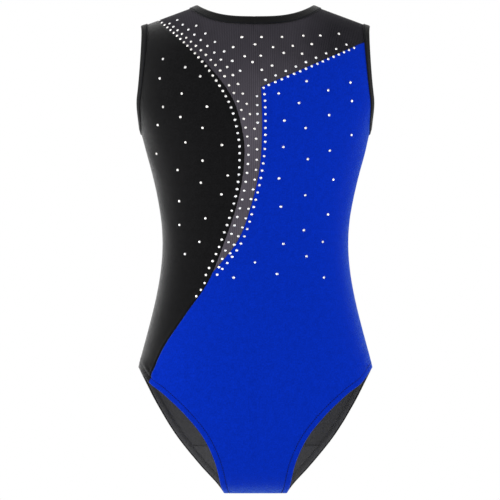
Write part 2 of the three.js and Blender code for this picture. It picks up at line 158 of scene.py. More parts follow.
class LeotardStudio(PropertyGroup):
    """The stage, the lights and the camera."""

    floor_drop: length("Floor drop", "The floor below the crotch fold", 0.40)
    distance: length("Camera distance", "From the garment's middle", 16.0)
    view_height: length("View height", "Height of the middle of the view", 0.2697)
    view_side: FloatProperty(
        name="View side", description="Sideways middle of the view", default=-0.006, unit="LENGTH"
    )
    view_width: length("View width", "Width of what the camera takes in", 0.5545)
    sky: FloatProperty(name="Sky", description="Strength of the white room", default=1.0, min=0)
    side_light: FloatProperty(
        name="Side lights", description="Power of each side light", default=11.0, unit="POWER"
    )
    front_light: FloatProperty(
        name="Front light", description="Power of the front light", default=16.0, unit="POWER"
    )


# ---------------------------------------------------------------- the form


def profile(stations, height):
    """A smooth curve through stations of height, value and slope, held level beyond both ends.

    Between two stations the value is the cubic that has both their values and slopes."""
    table = np.array(stations)
    h = np.clip(height, table[0, 0], table[-1, 0])
    place = np.clip(np.searchsorted(table[:, 0], h, side="right") - 1, 0, len(table) - 2)
    h0, v0, m0 = (table[place, k] for k in range(3))
    h1, v1, m1 = (table[place + 1, k] for k in range(3))
    span = h1 - h0
    t = (h - h0) / span
    rise = t * t * (3 - 2 * t)
    return v0 + (v1 - v0) * rise + span * t * (1 - t) * (m0 * (1 - t) - m1 * t)


def ease(share):
    """A smooth step: 0 below 0, 1 above 1, and 3 t squared minus 2 t cubed between."""
    t = np.clip(share, 0, 1)
    return t * t * (3 - 2 * t)


def unit(vectors):
    """Vectors of length one."""
    size = np.linalg.norm(vectors, axis=-1, keepdims=True)
    return vectors / np.maximum(size, 1e-12)


# Soft folds, in millimetres: middle x and height, lean from upright in degrees, half length,
# half breadth, height of the fold, and the side of the garment.
FOLDS = (
    (-119, 137, -38, 11, 2.2, 1.3, FRONT),
    (-123, 147, -62, 10, 2.2, 1.1, FRONT),
    (-112, 131, -20, 10, 2.2, 1.0, FRONT),
    (119, 376, 24, 24, 5, 1.5, FRONT),
    (112, 347, 20, 26, 5, 1.2, FRONT),
    (106, 318, 14, 22, 6, 0.9, FRONT),
    (121, 150, 40, 14, 4, 0.8, FRONT),
    (-116, 372, -22, 22, 5, 1.0, FRONT),
    (-104, 320, -14, 26, 6, 0.8, FRONT),
    (3, 95, 0, 75, 6, -1.6, FRONT),
    (-2, 519, 0, 9, 1.4, -1.0, FRONT),
    (0, 262, 88, 60, 8, -1.6, BACK),
    (-30, 246, 70, 45, 7, 1.3, BACK),
    (34, 243, -70, 45, 7, 1.3, BACK),
    (-52, 110, 55, 34, 6, 1.0, BACK),
    (54, 112, -55, 34, 6, 1.0, BACK),
    (0, 120, 0, 70, 7, -1.8, BACK),
)


class Form:
    """The torso surface that the garment is laid on."""

    power = 2.4  # of the cross-section, where 2 is an ellipse
    neck_rise = 0.025  # how far the form runs up past the shoulder line at the neck's middle
    cap_way = 0.110  # levels given to the surface above the cap height
    bowl_way = 0.182  # and below the bowl height

    def __init__(self, s):
        self.s = s
        self.hip = s.crotch_to_hip
        self.waist = self.hip + s.hip_to_waist
        self.underarm = self.waist + s.waist_to_underarm
        self.shoulder = self.underarm + s.armhole_height
        self.neck = self.shoulder + s.shoulder_drop
        self.cap = self.underarm + 0.035
        self.bowl = self.hip + 0.011
        self.slope = s.shoulder_drop / (s.shoulder_half - s.neck_half)
        self.ridge_level = self.cap + self.cap_way
        self.fold_level = self.bowl - self.bowl_way

    def half_width(self, z):
        """Half width of the form at a height."""
        s = self.s
        stations = (
            (0, s.thigh_half, 0.5),
            (self.hip, s.hip_half, -0.26),
            (self.waist, s.waist_half, 0),
            (self.underarm, s.underarm_half, 0.27),
            (self.cap, s.upper_arm_half, 0),
        )
        return profile(stations, z)

    def depth(self, side, z):
        """Full depth of the form in front of or behind the side seams, at a height."""
        s = self.s

        def half(k):
            return profile(
                (
                    (0, s.crotch_depth[k], 0),
                    (self.hip, s.hip_depth[k], 0),
                    (self.waist, s.waist_depth[k], 0),
                    (self.underarm, s.underarm_depth[k], 0),
                    (self.cap, s.chest_depth[k], 0),
                ),
                z,
            )

        return np.where(side < 0, half(0), half(1))

    def ridge(self, x):
        """Height of the ridge where front and back meet: the shoulder line, up to the neck."""
        far = np.abs(x)
        across = np.minimum(far / self.s.neck_half, 1)
        inward = 1 - across**2
        rise = self.slope * self.s.neck_half * inward / 2 + self.neck_rise * inward**2
        return self.neck - self.slope * np.maximum(far - self.s.neck_half, 0) + rise

    def closing(self, x, z):
        """Share of the way up the cap or down the bowl, 0 over the trunk."""
        cap = (z - self.cap) / (self.ridge(x) - self.cap)
        bowl = 1 - z / self.bowl
        return np.where(z > self.cap, cap, np.where(z < self.bowl, bowl, 0))

    def from_chart(self, side, turn, level):
        """Points of the form from their turn and level.

        Across, x is the half width times the sine of the turn, and the depth follows
        |x / half width|^n + |y / depth|^n = 1. In the cap and the bowl, height and depth go round
        a quarter of an ellipse as the level goes on."""
        up = np.clip((level - self.cap) / self.cap_way, 0, 1) * SIDE
        down = np.clip((self.bowl - level) / self.bowl_way, 0, 1) * SIDE
        trunk = np.clip(level, self.bowl, self.cap)
        z = np.where(level < self.bowl, self.bowl * (1 - np.sin(down)), trunk)
        x = self.half_width(z) * np.sin(turn)
        z = np.where(level > self.cap, self.cap + (self.ridge(x) - self.cap) * np.sin(up), z)
        left = -np.expm1(self.power / 2 * np.log1p(-np.minimum(np.cos(turn) ** 2, 1 - 1e-12)))
        y = side * self.depth(side, z) * np.cos(up) * np.cos(down) * left ** (1 / self.power)
        return np.stack(np.broadcast_arrays(x, y, z), axis=-1)

    def to_chart(self, points):
        """Turn and level of points on the form, worked back from from_chart."""
        x, y, z = np.moveaxis(points, -1, 0)
        side = np.where(y > 0, BACK, FRONT)
        n = self.power
        t = np.clip(self.closing(x, z), 0, 1)
        full = np.sqrt(1 - t * t)
        deep = self.depth(side, z)
        a = np.minimum(np.abs(x) / self.half_width(z), 1)
        share = np.clip(np.abs(y) / np.maximum(deep * full, 1e-9), 0, 1) ** n
        by_depth = (a > 0.8) & (full > 0.3)
        from_y = np.sqrt(-np.expm1(2 / n * np.log1p(-np.minimum(share, 1 - 1e-12))))
        cosine = np.where(by_depth, from_y, np.sqrt(1 - a * a))
        turn = np.sign(x) * np.arctan2(np.sqrt(1 - np.minimum(cosine, 1) ** 2), cosine)
        left = np.maximum(-np.expm1(n / 2 * np.log1p(-np.minimum(cosine**2, 1 - 1e-12))), 1e-9)
        broad = left ** (1 / n)
        round_ = np.where(broad > 0.3, np.arctan2(t, np.abs(y) / (deep * broad)), np.arcsin(t))
        cap = self.cap + self.cap_way * round_ / SIDE
        bowl = self.bowl - self.bowl_way * round_ / SIDE
        return turn, np.where(z > self.cap, cap, np.where(z < self.bowl, bowl, z))

    def level_set(self, p):
        """0 on the form, positive outside: (y / depth)^2 - (1 - t^2) (1 - |x / width|^n)^(2/n)."""
        x, y, z = np.moveaxis(p, -1, 0)
        t = self.closing(x, z)
        left = 1 - (np.abs(x) / self.half_width(z)) ** self.power
        broad = np.sign(left) * np.abs(left) ** (2 / self.power)
        over = 1 - t * t
        inside = np.where((over < 0) & (broad < 0), -np.abs(over * broad), over * broad)
        return (y / self.depth(np.where(y > 0, BACK, FRONT), z)) ** 2 - inside

    def gradient(self, p):
        """Central differences of the level set."""
        step = 2e-5
        out = np.empty_like(p)
        for axis in range(3):
            move = np.zeros(3)
            move[axis] = step
            out[..., axis] = (self.level_set(p + move) - self.level_set(p - move)) / (2 * step)
        return out

    def normal(self, p):
        """The direction out of the form."""
        return unit(self.gradient(p))

    def settle(self, p):
        """Brings points that are near the form onto it, by Newton's steps along the gradient."""
        for _ in range(4):
            g = self.gradient(p)
            size = np.maximum((g**2).sum(-1), 1e-9)
            step = (self.level_set(p) / size)[..., None] * g
            far = np.linalg.norm(step, axis=-1, keepdims=True)
            p = p - step * np.minimum(1, 0.002 / np.maximum(far, 1e-12))
        return p

    def on_front(self, xz, side=FRONT):
        """Points of the form in front of, or behind, given x and heights."""
        x, z = np.moveaxis(np.asarray(xz, float), -1, 0)
        t = np.clip(self.closing(x, z), 0, 1)
        left = np.clip(1 - (np.abs(x) / self.half_width(z)) ** self.power, 0, 1)
        y = side * self.depth(side, z) * np.sqrt(1 - t * t) * left ** (1 / self.power)
        return np.stack([x, y, z], -1)

    def folds(self, p):
        """Height of the soft folds: each is a bell across its line and a wider bell along it."""
        x, y, z = np.moveaxis(p, -1, 0) / MM
        out = np.zeros(x.shape)
        for x0, z0, lean, half, breadth, high, side in FOLDS:
            angle = math.radians(lean)
            along = (x - x0) * math.sin(angle) + (z - z0) * math.cos(angle)
            across = (x - x0) * math.cos(angle) - (z - z0) * math.sin(angle)
            bell = np.exp(-((along / half) ** 2) - (across / breadth) ** 2)
            out += high * bell * ease(side * y / 14)
        return out * MM

    def lay(self, p, offset):
        """Points lifted off the form by an offset and by the folds of the cloth."""
        return p + self.normal(p) * (offset + self.folds(p))[..., None]


# ---------------------------------------------------------------- lines on the form


def spaced(points, count, closed=False):
    """The line through the points, resampled at equal steps of its own length."""
    run = np.concatenate([points, points[:1]]) if closed else points
    way = np.concatenate([[0], np.cumsum(np.linalg.norm(np.diff(run, axis=0), axis=1))])
    at = np.linspace(0, way[-1], count, endpoint=not closed)
    return np.stack([np.interp(at, way, run[:, k]) for k in range(run.shape[1])], -1)


def way_along(points):
    """Length along an open line, from its start to each point."""
    return np.concatenate([[0], np.cumsum(np.linalg.norm(np.diff(points, axis=0), axis=1))])


def curve_through(points, count):
    """A uniform Catmull-Rom curve through the points: each span is the cubic whose end slopes are
    half the vector between the points before and after."""
    p = np.asarray(points, float)
    t = np.linspace(0, len(p) - 1, 40 * len(p))
    i = np.minimum(t.astype(int), len(p) - 2)
    w = (t - i)[:, None]
    p0, p1 = p[np.maximum(i - 1, 0)], p[i]
    p2, p3 = p[i + 1], p[np.minimum(i + 2, len(p) - 1)]
    v0, v1 = (p2 - p0) / 2, (p3 - p1) / 2
    cubic = (2 * p1 - 2 * p2 + v0 + v1) * w**3
    return spaced(cubic + (-3 * p1 + 3 * p2 - 2 * v0 - v1) * w**2 + v0 * w + p1, count)


def step_over(form, line, distance, closed):
    """Moves a line over the form at right angles to itself, to the left of its walker if positive."""
    if closed:
        along = np.roll(line, -1, 0) - np.roll(line, 1, 0)
    else:
        along = np.gradient(line, axis=0)
    sideways = unit(np.cross(form.normal(line), along))
    return form.settle(line + sideways * distance)


def walk(form, line, distances, closed=True):
    """Lines at the given distances from a line, each reached in small steps over the form."""
    order = np.argsort(np.abs(distances), kind="stable")
    rows = [None] * len(distances)
    for sign in (-1, 1):
        at, current = 0.0, line
        for k in order:
            d = distances[k]
            if (d < 0) != (sign < 0):
                continue
            steps = max(1, math.ceil(abs(d - at) / 0.0015))
            if abs(d - at) > 1e-9:
                for _ in range(steps):
                    current = step_over(form, current, (d - at) / steps, closed)
            at = d
            rows[k] = current
    return np.array(rows)


class Lines:
    """The edges of the openings and the seams of the front, as points on the form.

    An opening's edge runs anticlockwise, seen from outside, so the cloth is to its right."""

    front_leg = ((1, 1), (0.873, 0.881), (0.704, 0.791), (0.45, 0.626), (0.238, 0.446),
                 (0.1, 0.245), (0.03, 0.05), (0, 0))
    back_leg = ((1, 1), (0.937, 0.906), (0.778, 0.694), (0.556, 0.45), (0.286, 0.223),
                (0.09, 0.079), (0, 0))

    def __init__(self, form):
        self.form = form
        s = form.s
        under, waist, hip, top = form.underarm, form.waist, form.hip, form.shoulder
        self.black_seam_points = np.array([
            [0.007 - s.shoulder_half, top + 0.016],
            [-0.0860, top - 0.0125],
            [-0.0522, top - 0.0434],
            [-0.0252, under + 0.0318],
            [-0.0139, under - 0.0064],
            [-0.0123, under - 0.0380],
            [-0.0190, waist + 0.0480],
            [-0.0337, waist + 0.0032],
            [-0.0522, waist - 0.0420],
            [-0.0760, hip + 0.0615],
            [-0.1035, hip + 0.0200],
            [0.0115 - s.hip_half, hip - 0.0190],
            [0.0090 - s.hip_half, hip - 0.0340],
        ])
        self.blue_edge_points = np.array([
            [0.0064, top - 0.0674],
            [0.0074, under + 0.0006],
            [0.0051, under - 0.0418],
            [-0.0040, waist + 0.0442],
            [-0.0195, waist + 0.0032],
            [-0.0490, waist - 0.0340],
        ])
        self.yoke_end = np.array([s.shoulder_half + 0.001, top - 0.014])

    def neck(self):
        """Neck edge: across, the height falls as 1 - |x / neck half width| to a power."""
        s = self.form.s
        run = -np.cos(np.linspace(0, math.pi, 400, endpoint=False))
        front = np.stack([run * s.neck_half, self.form.neck - s.neck_drop * (1 - abs(run) ** 3)], -1)
        back = np.stack([-run * s.neck_half, self.form.neck - s.scoop_drop * (1 - run**4)], -1)
        return np.concatenate([self.form.on_front(front), self.form.on_front(back, BACK)])

    def arm(self, flank):
        """Armhole edge: an oval, seen from the side, whose width is found on the form."""
        s, form = self.form.s, self.form
        turn = np.linspace(0, 2 * math.pi, 480, endpoint=False)
        deep = np.where(turn < math.pi, s.armhole_depth[1], s.armhole_depth[0])
        y = deep * np.sin(turn)
        z = form.underarm + s.armhole_height / 2 * (1 - np.cos(turn))
        low, high = np.zeros(len(z)), form.half_width(z)
        for _ in range(40):
            x = (low + high) / 2
            outside = form.level_set(np.stack([x, y, z], -1)) > 0
            low, high = np.where(outside, low, x), np.where(outside, x, high)
        return self.on_flank(np.stack([(low + high) / 2, y, z], -1), flank)

    def leg(self, flank):
        """Leg edge: a curve through shares of the way from the crotch to the hip."""
        s, form = self.form.s, self.form

        def run(shares, side):
            out, up = np.moveaxis(curve_through(shares, 240), -1, 0)
            x = s.crotch_half + (s.hip_half - s.crotch_half) * out
            z = form.hip * up
            return form.on_front(np.stack([np.minimum(x, form.half_width(z)), z], -1), side)

        edge = np.concatenate([run(self.front_leg, FRONT), run(self.back_leg, BACK)[1:-1][::-1]])
        return self.on_flank(edge, flank)

    @staticmethod
    def on_flank(edge, flank):
        """The same edge on the other flank, still anticlockwise."""
        return edge if flank > 0 else (edge * np.array([-1, 1, 1]))[::-1]

    def black_seam(self, count=320):
        """Seam of the black panel, from the right shoulder down to the right leg opening."""
        return curve_through(self.black_seam_points, count)

    def blue_edge(self, count=160):
        """Edge of the blue panel, from its apex down to the black seam."""
        return curve_through(self.blue_edge_points, count)

    def yoke(self, count=100):
        """Straight top edge of the blue panel, from its apex up to the left armhole."""
        return np.linspace(self.blue_edge_points[0], self.yoke_end, count)

    def side_seam(self, flank, count=160):
        """Side seam, from the leg opening up to the armhole."""
        z = np.linspace(self.form.hip, self.form.underarm, count)
        return np.stack([flank * self.form.half_width(z), 0 * z, z], -1)

    def shoulder_seam(self, flank, count=60):
        """Shoulder seam, from the neck out to the armhole, along the ridge."""
        x = flank * np.linspace(self.form.s.neck_half, self.form.s.shoulder_half, count)
        return np.stack([x, 0 * x, self.form.ridge(x)], -1)

    def crotch_seam(self, count=60):
        """Crotch seam, across the fold."""
        x = np.linspace(-self.form.s.crotch_half, self.form.s.crotch_half, count)
        return np.stack([x, 0 * x, 0 * x], -1)


def limit(form, line, levels, outside, slack=0.004):
    """A line's turn at the given levels, or the outside value past the slack at its ends."""
    turn, level = form.to_chart(line)
    order = np.argsort(level)
    found = np.interp(levels, level[order], turn[order])
    beyond = (levels < level.min() - slack) | (levels > level.max() + slack)
    return np.where(beyond, outside, found)


# ---------------------------------------------------------------- meshes


def lattice(rows, columns, wrap_rows=False, wrap_columns=False):
    """Quads of a grid, and where each corner lies on the grid that has one more row and column."""
    r = np.arange(rows if wrap_rows else rows - 1)
    c = np.arange(columns if wrap_columns else columns - 1)
    r, c = (g.ravel() for g in np.meshgrid(r, c, indexing="ij"))
    rr = np.stack([r, r, r + 1, r + 1], -1)
    cc = np.stack([c, c + 1, c + 1, c], -1)
    return rr % rows * columns + cc % columns, rr * (columns + 1) + cc


def volume(points, faces):
    """Six times the signed volume of a closed mesh of quads or triangles."""
    a, b, c = points[faces[:, 0]], points[faces[:, 1]], points[faces[:, 2]]
    total = np.einsum("ij,ij->", a, np.cross(b, c))
    if faces.shape[1] == 4:
        total += np.einsum("ij,ij->", a, np.cross(c, points[faces[:, 3]]))
    return total


def add_piece(name, points, faces, uv=None, smooth=True, attributes=None):
    """A mesh object at the origin. Faces are lists of vertex numbers, uv is one pair for each
    corner in metres, and attributes are one value for each vertex."""
    mesh = bpy.data.meshes.new(name)
    mesh.from_pydata(points.tolist(), [], faces)
    mesh.polygons.foreach_set("use_smooth", np.full(len(mesh.polygons), smooth))
    if uv is not None:
        layer = mesh.uv_layers.new(name="cloth")
        layer.data.foreach_set("uv", np.asarray(uv, np.float32).ravel())
    for key, values in (attributes or {}).items():
        attribute = mesh.attributes.new(key, "FLOAT", "POINT")
        attribute.data.foreach_set("value", np.asarray(values, np.float32).ravel())
    mesh.update()
    if mesh.validate():
        raise RuntimeError(f"{name} has broken faces")
    piece = bpy.data.objects.new(name, mesh)
    bpy.context.scene.collection.objects.link(piece)
    return piece


def finish_piece(piece, materials, nodes=()):
    """Gives a piece its materials and its body, and hides the CAD nodes that it stands for."""
    for material in materials:
        piece.data.materials.append(material)
    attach(piece, "root")
    if nodes:
        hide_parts(*nodes)
    return piece


def grid_uv(points, wrap_rows, wrap_columns):
    """Surface lengths down and across a grid, for one more row and column than it has."""
    rows = np.concatenate([points, points[:1] if wrap_rows else points[-1:]])
    full = np.concatenate([rows, rows[:, :1] if wrap_columns else rows[:, -1:]], axis=1)
    down = np.linalg.norm(np.diff(full, axis=0), axis=2).mean(1)
    across = np.linalg.norm(np.diff(full, axis=1), axis=2).mean(0)
    v = np.concatenate([[0], np.cumsum(down)])
    u = np.concatenate([[0], np.cumsum(across)])
    return np.stack(np.meshgrid(v, u, indexing="ij")[::-1], -1).reshape(-1, 2)


def add_loop(name, points, attributes=None):
    """A closed tube from a grid of points: profile round by path along, both joined up."""
    rows, columns = points.shape[:2]
    faces, corners = lattice(rows, columns, True, True)
    flat = points.reshape(-1, 3)
    uv = grid_uv(points, True, True)[corners][..., ::-1]
    if volume(flat, faces) < 0:
        faces, uv = faces[:, ::-1], uv[:, ::-1]
    return add_piece(name, flat, faces.tolist(), uv.reshape(-1, 2), attributes=attributes)


def add_bar(name, points):
    """A closed bar from a grid of points: profile round, path along, with flat ends."""
    rows, columns = points.shape[:2]
    faces, corners = lattice(rows, columns, True, False)
    flat = points.reshape(-1, 3)
    uv = grid_uv(points, True, False)[corners][..., ::-1].reshape(-1, 4, 2)
    ring = np.arange(rows) * columns
    start, end = points[:, 0].mean(0), points[:, -1].mean(0)
    first, last = len(flat), len(flat) + 1
    following = np.roll(ring, -1)
    caps = np.concatenate([
        np.stack([ring, following, np.full(rows, first)], -1),
        np.stack([following + columns - 1, ring + columns - 1, np.full(rows, last)], -1),
    ])
    flat = np.concatenate([flat, start[None], end[None]])
    inward = volume(flat, faces) + volume(flat, caps[:, ::-1])
    if inward < 0:
        faces, uv = faces[:, ::-1], uv[:, ::-1]
        caps = caps[:, ::-1]
    caps = caps[:, ::-1]
    cap_uv = np.zeros((len(caps), 3, 2))
    every = np.concatenate([uv.reshape(-1, 2), cap_uv.reshape(-1, 2)])
    return add_piece(name, flat, faces.tolist() + caps.tolist(), every)


def add_copies(name, template, polygons, places, frames, sizes, tint=None):
    """One mesh of many copies of a small shape, each turned into its own frame."""
    count, each = len(places), len(template)
    turned = np.einsum("nij,nkj->nki", frames, template[None] * sizes[:, None, :])
    points = (places[:, None] + turned).reshape(-1, 3)
    faces = []
    for corners in sorted({len(p) for p in polygons}):
        group = np.array([p for p in polygons if len(p) == corners])
        start = np.arange(count)[:, None, None] * each
        faces += (group[None] + start).reshape(-1, corners).tolist()
    attributes = None if tint is None else {"tint": np.repeat(tint, each)}
    return add_piece(name, points, faces, smooth=False, attributes=attributes)


# ---------------------------------------------------------------- cloth panels


def spread(count, crowd=1.7):
    """Shares from 0 to 1 that crowd towards both ends, as a hyperbolic tangent."""
    t = np.tanh(crowd * np.linspace(-1, 1, count)) / math.tanh(crowd)
    return (t + 1) / 2


def rows_between(low, high, spacing, crowded):
    """Levels at even steps, with more of them close above and below each crowded level."""
    even = np.linspace(low, high, max(2, int((high - low) / spacing) + 1))
    near = np.array([0, 0.0001, 0.0003, 0.0007, 0.0013, 0.002])
    extra = (np.array(crowded)[:, None] + np.concatenate([-near[1:], near])).ravel()
    extra = extra[(extra > low) & (extra < high)]
    levels = np.unique(np.concatenate([even, extra]))
    return levels[np.concatenate([[True], np.diff(levels) > 4e-5])]


def nearness(points, lines):
    """Distance from each point to the nearest sample of any of the lines."""
    flat = points.reshape(-1, 3)
    best = np.full(len(flat), 1.0)
    for line in lines:
        low, high = line.min(0) - 0.008, line.max(0) + 0.008
        near = np.nonzero(np.all((flat > low) & (flat < high), axis=1))[0]
        for part in np.array_split(near, max(1, len(near) // 4000)):
            gap = flat[part][:, None] - line[None]
            best[part] = np.minimum(best[part], np.sqrt((gap**2).sum(-1).min(1)))
    return best.reshape(points.shape[:-1])


def seam_relief(gap):
    """Cloth beside a seam: it dips into the seam, then rises over the allowances below it."""
    dip = -0.75 * MM * np.exp(-((gap / 0.0009) ** 2))
    rise = 0.22 * MM * np.exp(-(((gap - 0.0026) / 0.0013) ** 2))
    return dip + rise


def panel_grid(levels, left, right, columns):
    """Points on rows of one level between a left and a right turn."""
    turn = left[:, None] + (right - left)[:, None] * spread(columns)
    return turn, np.broadcast_to(levels[:, None], turn.shape)


def cloth_uv(form, side, turn, level):
    """Surface length across the body from its middle line, and the level, for each point."""
    steps = np.linspace(-SIDE, SIDE, 121)
    ring = form.from_chart(side, steps[None], level[:, :1])
    way = np.concatenate(
        [np.zeros((len(ring), 1)), np.cumsum(np.linalg.norm(np.diff(ring, axis=1), axis=2), 1)],
        axis=1,
    )
    way -= way[:, 60:61]
    place = (turn + SIDE) / math.pi * 120
    low = np.clip(place.astype(int), 0, 119)
    share = place - low
    row = np.arange(len(ring))[:, None]
    return np.stack([way[row, low] * (1 - share) + way[row, low + 1] * share, level], -1)


class Cloth:
    """A sheet of cloth gathered from one or more grids on the form."""

    def __init__(self, form, lines, seams, edges, offset=0.0):
        self.form, self.lines = form, lines
        self.seams, self.edges, self.offset = seams, edges, offset
        self.points, self.faces, self.uv, self.charts = [], [], [], []
        self.count = 0

    def add(self, side, levels, left, right, columns):
        """Adds a grid between two limits and returns its turns."""
        turn, level = panel_grid(levels, left, right, columns)
        on_form = self.form.from_chart(side, turn, level)
        gap = nearness(on_form, self.seams)
        offset = self.offset(level) if callable(self.offset) else self.offset
        lift = offset + seam_relief(gap)
        if self.edges:
            edge_gap = nearness(on_form, self.edges)
            lift = lift - 0.6 * MM * np.exp(-((edge_gap / 0.0008) ** 2))
        points = self.form.lay(on_form, lift)
        faces, _ = lattice(*turn.shape)
        if side == BACK:
            faces = faces[:, ::-1]
        uv = cloth_uv(self.form, side, turn, level).reshape(-1, 2)
        self.points.append(points.reshape(-1, 3))
        self.uv.append(uv[faces])
        self.faces.append(faces + self.count)
        self.charts.append(np.stack([turn, level], -1).reshape(-1, 2))
        self.count += turn.size
        return turn

    def make(self, name, thickness, attributes=None):
        """The sheet as one object, its grids joined, with its thickness inwards."""
        points = np.concatenate(self.points)
        faces = np.concatenate(self.faces)
        uv = np.concatenate(self.uv)
        piece = add_piece(name, points, faces.tolist(), uv.reshape(-1, 2), attributes=attributes)
        weld = piece.modifiers.new("Joined grids", "WELD")
        weld.merge_threshold = 2e-5
        wall = piece.modifiers.new("Cloth", "SOLIDIFY")
        wall.thickness = thickness
        wall.offset = -1
        wall.material_offset = 1
        wall.material_offset_rim = 0
        return piece


def span(form, levels, left_lines, right_lines):
    """The widest span between lines at each level: lines on the left push it to the right."""
    left = np.full(len(levels), -SIDE)
    right = np.full(len(levels), SIDE)
    for line in left_lines:
        left = np.maximum(left, limit(form, line, levels, -SIDE))
    for line in right_lines:
        right = np.minimum(right, limit(form, line, levels, SIDE))
    return left, right


def reach_of(form, left_lines, right_lines, low, high):
    """Lowest and highest level at which the span between the lines is open."""
    levels = np.linspace(low, high, 4000)
    left, right = span(form, levels, left_lines, right_lines)
    is_open = np.nonzero(right - left > 0.004)[0]
    return levels[is_open[0]], levels[is_open[-1]]


# ---------------------------------------------------------------- trims, stitches and crystals

# Cross-sections in millimetres: distance in from the opening's edge, and height over the cloth.
BINDING_SECTION = (
    (1.00, 0.34), (0.995, 0.70), (0.975, 0.98), (0.93, 1.02), (0.88, 0.72), (0.83, 1.04),
    (0.76, 1.16), (0.62, 1.22), (0.45, 1.30), (0.28, 1.40), (0.15, 1.30), (0.06, 0.95),
    (0.015, 0.40), (0.00, -0.40), (0.015, -1.15), (0.06, -1.72), (0.14, -2.05), (0.50, -2.10),
    (0.93, -2.08), (1.00, -1.85), (0.99, -1.42), (0.55, -1.36), (0.17, -1.30), (0.11, -0.90),
    (0.11, 0.05), (0.17, 0.32), (0.55, 0.34),
)
HEM_SECTION = (
    (7.30, -0.42), (6.80, -0.34), (6.30, -0.08), (5.50, 0.06), (4.00, 0.12), (2.40, 0.12),
    (1.30, 0.02), (0.60, -0.25), (0.20, -0.75), (0.00, -1.55), (0.18, -2.35), (0.60, -2.85),
    (1.30, -3.10), (3.00, -3.18), (5.00, -3.05), (6.00, -2.65), (6.80, -2.20), (7.50, -2.05),
    (7.95, -1.95), (8.00, -1.72), (7.75, -1.52), (7.00, -1.64), (6.40, -1.88), (5.80, -2.18),
    (4.80, -2.36), (1.50, -2.40), (1.00, -2.10), (0.92, -1.50), (1.10, -1.08), (1.60, -0.92),
    (4.00, -0.88), (7.00, -0.94),
)
HEM_INSIDE = range(11, 21)  # the part of the section that shows inside the garment
ELASTIC_SECTION = (
    (1.45, -1.60), (1.60, -1.40), (1.90, -1.32), (3.70, -1.32), (5.40, -1.32), (5.75, -1.40),
    (5.90, -1.62), (5.75, -1.90), (5.40, -2.00), (3.70, -2.02), (1.90, -2.02), (1.60, -1.92),
)
SEAM_SECTION = (
    (-1.00, -1.70), (-0.90, -1.38), (-0.55, -1.32), (-0.08, -1.36), (0.08, -1.36),
    (0.55, -1.32), (0.90, -1.38), (1.00, -1.70), (0.90, -2.05), (0.55, -2.16), (0.20, -2.12),
    (-0.20, -2.12), (-0.55, -2.16), (-0.90, -2.05),
)


def swept(form, edge, section, closed=True, ripple=0.0, pitch=1.0, at=None):
    """A section carried along an edge: each of its points goes that far over the form from the
    edge and then up by its height. A ripple lifts the cloth a little between two stitches."""
    sign = -1 if closed else 1
    inset, height = (np.array(v) * MM for v in zip(*section))
    rows = walk(form, edge, list(sign * inset), closed)
    if ripple:
        way = way_along(edge)
        wave = np.cos(2 * math.pi * way / pitch)[None]
        share = np.exp(-(((inset - at) / 0.0011) ** 2)) * (height > -0.0005)
        height = height[:, None] + ripple * share[:, None] * wave
    else:
        height = np.broadcast_to(height[:, None], rows.shape[:2])
    return form.lay(rows, height)


def scaled(section, across, up=1.0):
    """A section with its distances multiplied."""
    return tuple((a * across, h * up) for a, h in section)


def frames_on(form, points, along):
    """For each point, axes along a direction, sideways and out of the form, as columns."""
    out = form.normal(points)
    sideways = unit(np.cross(out, along))
    return np.stack([np.cross(sideways, out), sideways, out], -1)


STITCH_SIDES = 5


def stitch_shape():
    """A stitch: a thin spindle of five sides with three rings and closed ends."""
    angle = np.arange(STITCH_SIDES) * 2 * math.pi / STITCH_SIDES
    rings = []
    for x, r in ((-0.36, 0.34), (0.0, 0.5), (0.36, 0.34)):
        rings.append(np.stack([np.full(STITCH_SIDES, x), r * np.cos(angle), r * np.sin(angle)], -1))
    points = np.concatenate(rings + [np.array([[-0.5, 0, -0.25], [0.5, 0, -0.25]])])
    k = np.arange(STITCH_SIDES)
    after = (k + 1) % STITCH_SIDES
    quads = [(a + r, a + r + 5, b + r + 5, b + r) for r in (0, 5) for a, b in zip(k, after)]
    quads = [tuple(int(v) for v in q[::-1]) for q in quads]
    ends = [(int(b), int(a), 15) for a, b in zip(k, after)]
    ends = [q[::-1] for q in ends] + [(int(b) + 10, int(a) + 10, 16) for a, b in zip(k, after)]
    return points, quads + ends


def crystal_shape():
    """A flat-backed crystal: eight girdle sides, sixteen crown facets and a table."""
    a = np.arange(8) * math.pi / 4
    b = a + math.pi / 8
    low = np.stack([np.cos(a) * 0.5, np.sin(a) * 0.5, 0 * a], -1)
    girdle = low + np.array([0, 0, 0.09])
    table = np.stack([np.cos(b) * 0.27, np.sin(b) * 0.27, 0 * b + 0.31], -1)
    k = range(8)
    sides = [(i, (i + 1) % 8, (i + 1) % 8 + 8, i + 8) for i in k]
    kites = [(i + 8, (i + 1) % 8 + 8, i + 16) for i in k]
    stars = [((i + 1) % 8 + 8, (i + 1) % 8 + 16, i + 16) for i in k]
    return np.concatenate([low, girdle, table]), (
        sides + kites + stars + [tuple(i + 16 for i in k), tuple(7 - i for i in k)]
    )


def add_stitches(form, name, edge, inset, height, making):
    """Stitches laid end to end on a line inside an opening's edge."""
    line = walk(form, edge, [-inset])[0]
    total = np.linalg.norm(np.roll(line, -1, 0) - line, axis=1).sum()
    count = int(total / making.stitch_pitch)
    line = form.settle(spaced(line, count, closed=True))
    along = np.roll(line, -1, 0) - np.roll(line, 1, 0)
    points, polygons = stitch_shape()
    size = np.array([making.stitch, making.thread, making.thread])
    places = form.lay(line, np.full(count, height))
    turned = frames_on(form, line, along)
    return add_copies(name, points, polygons, places, turned, np.tile(size, (count, 1)))


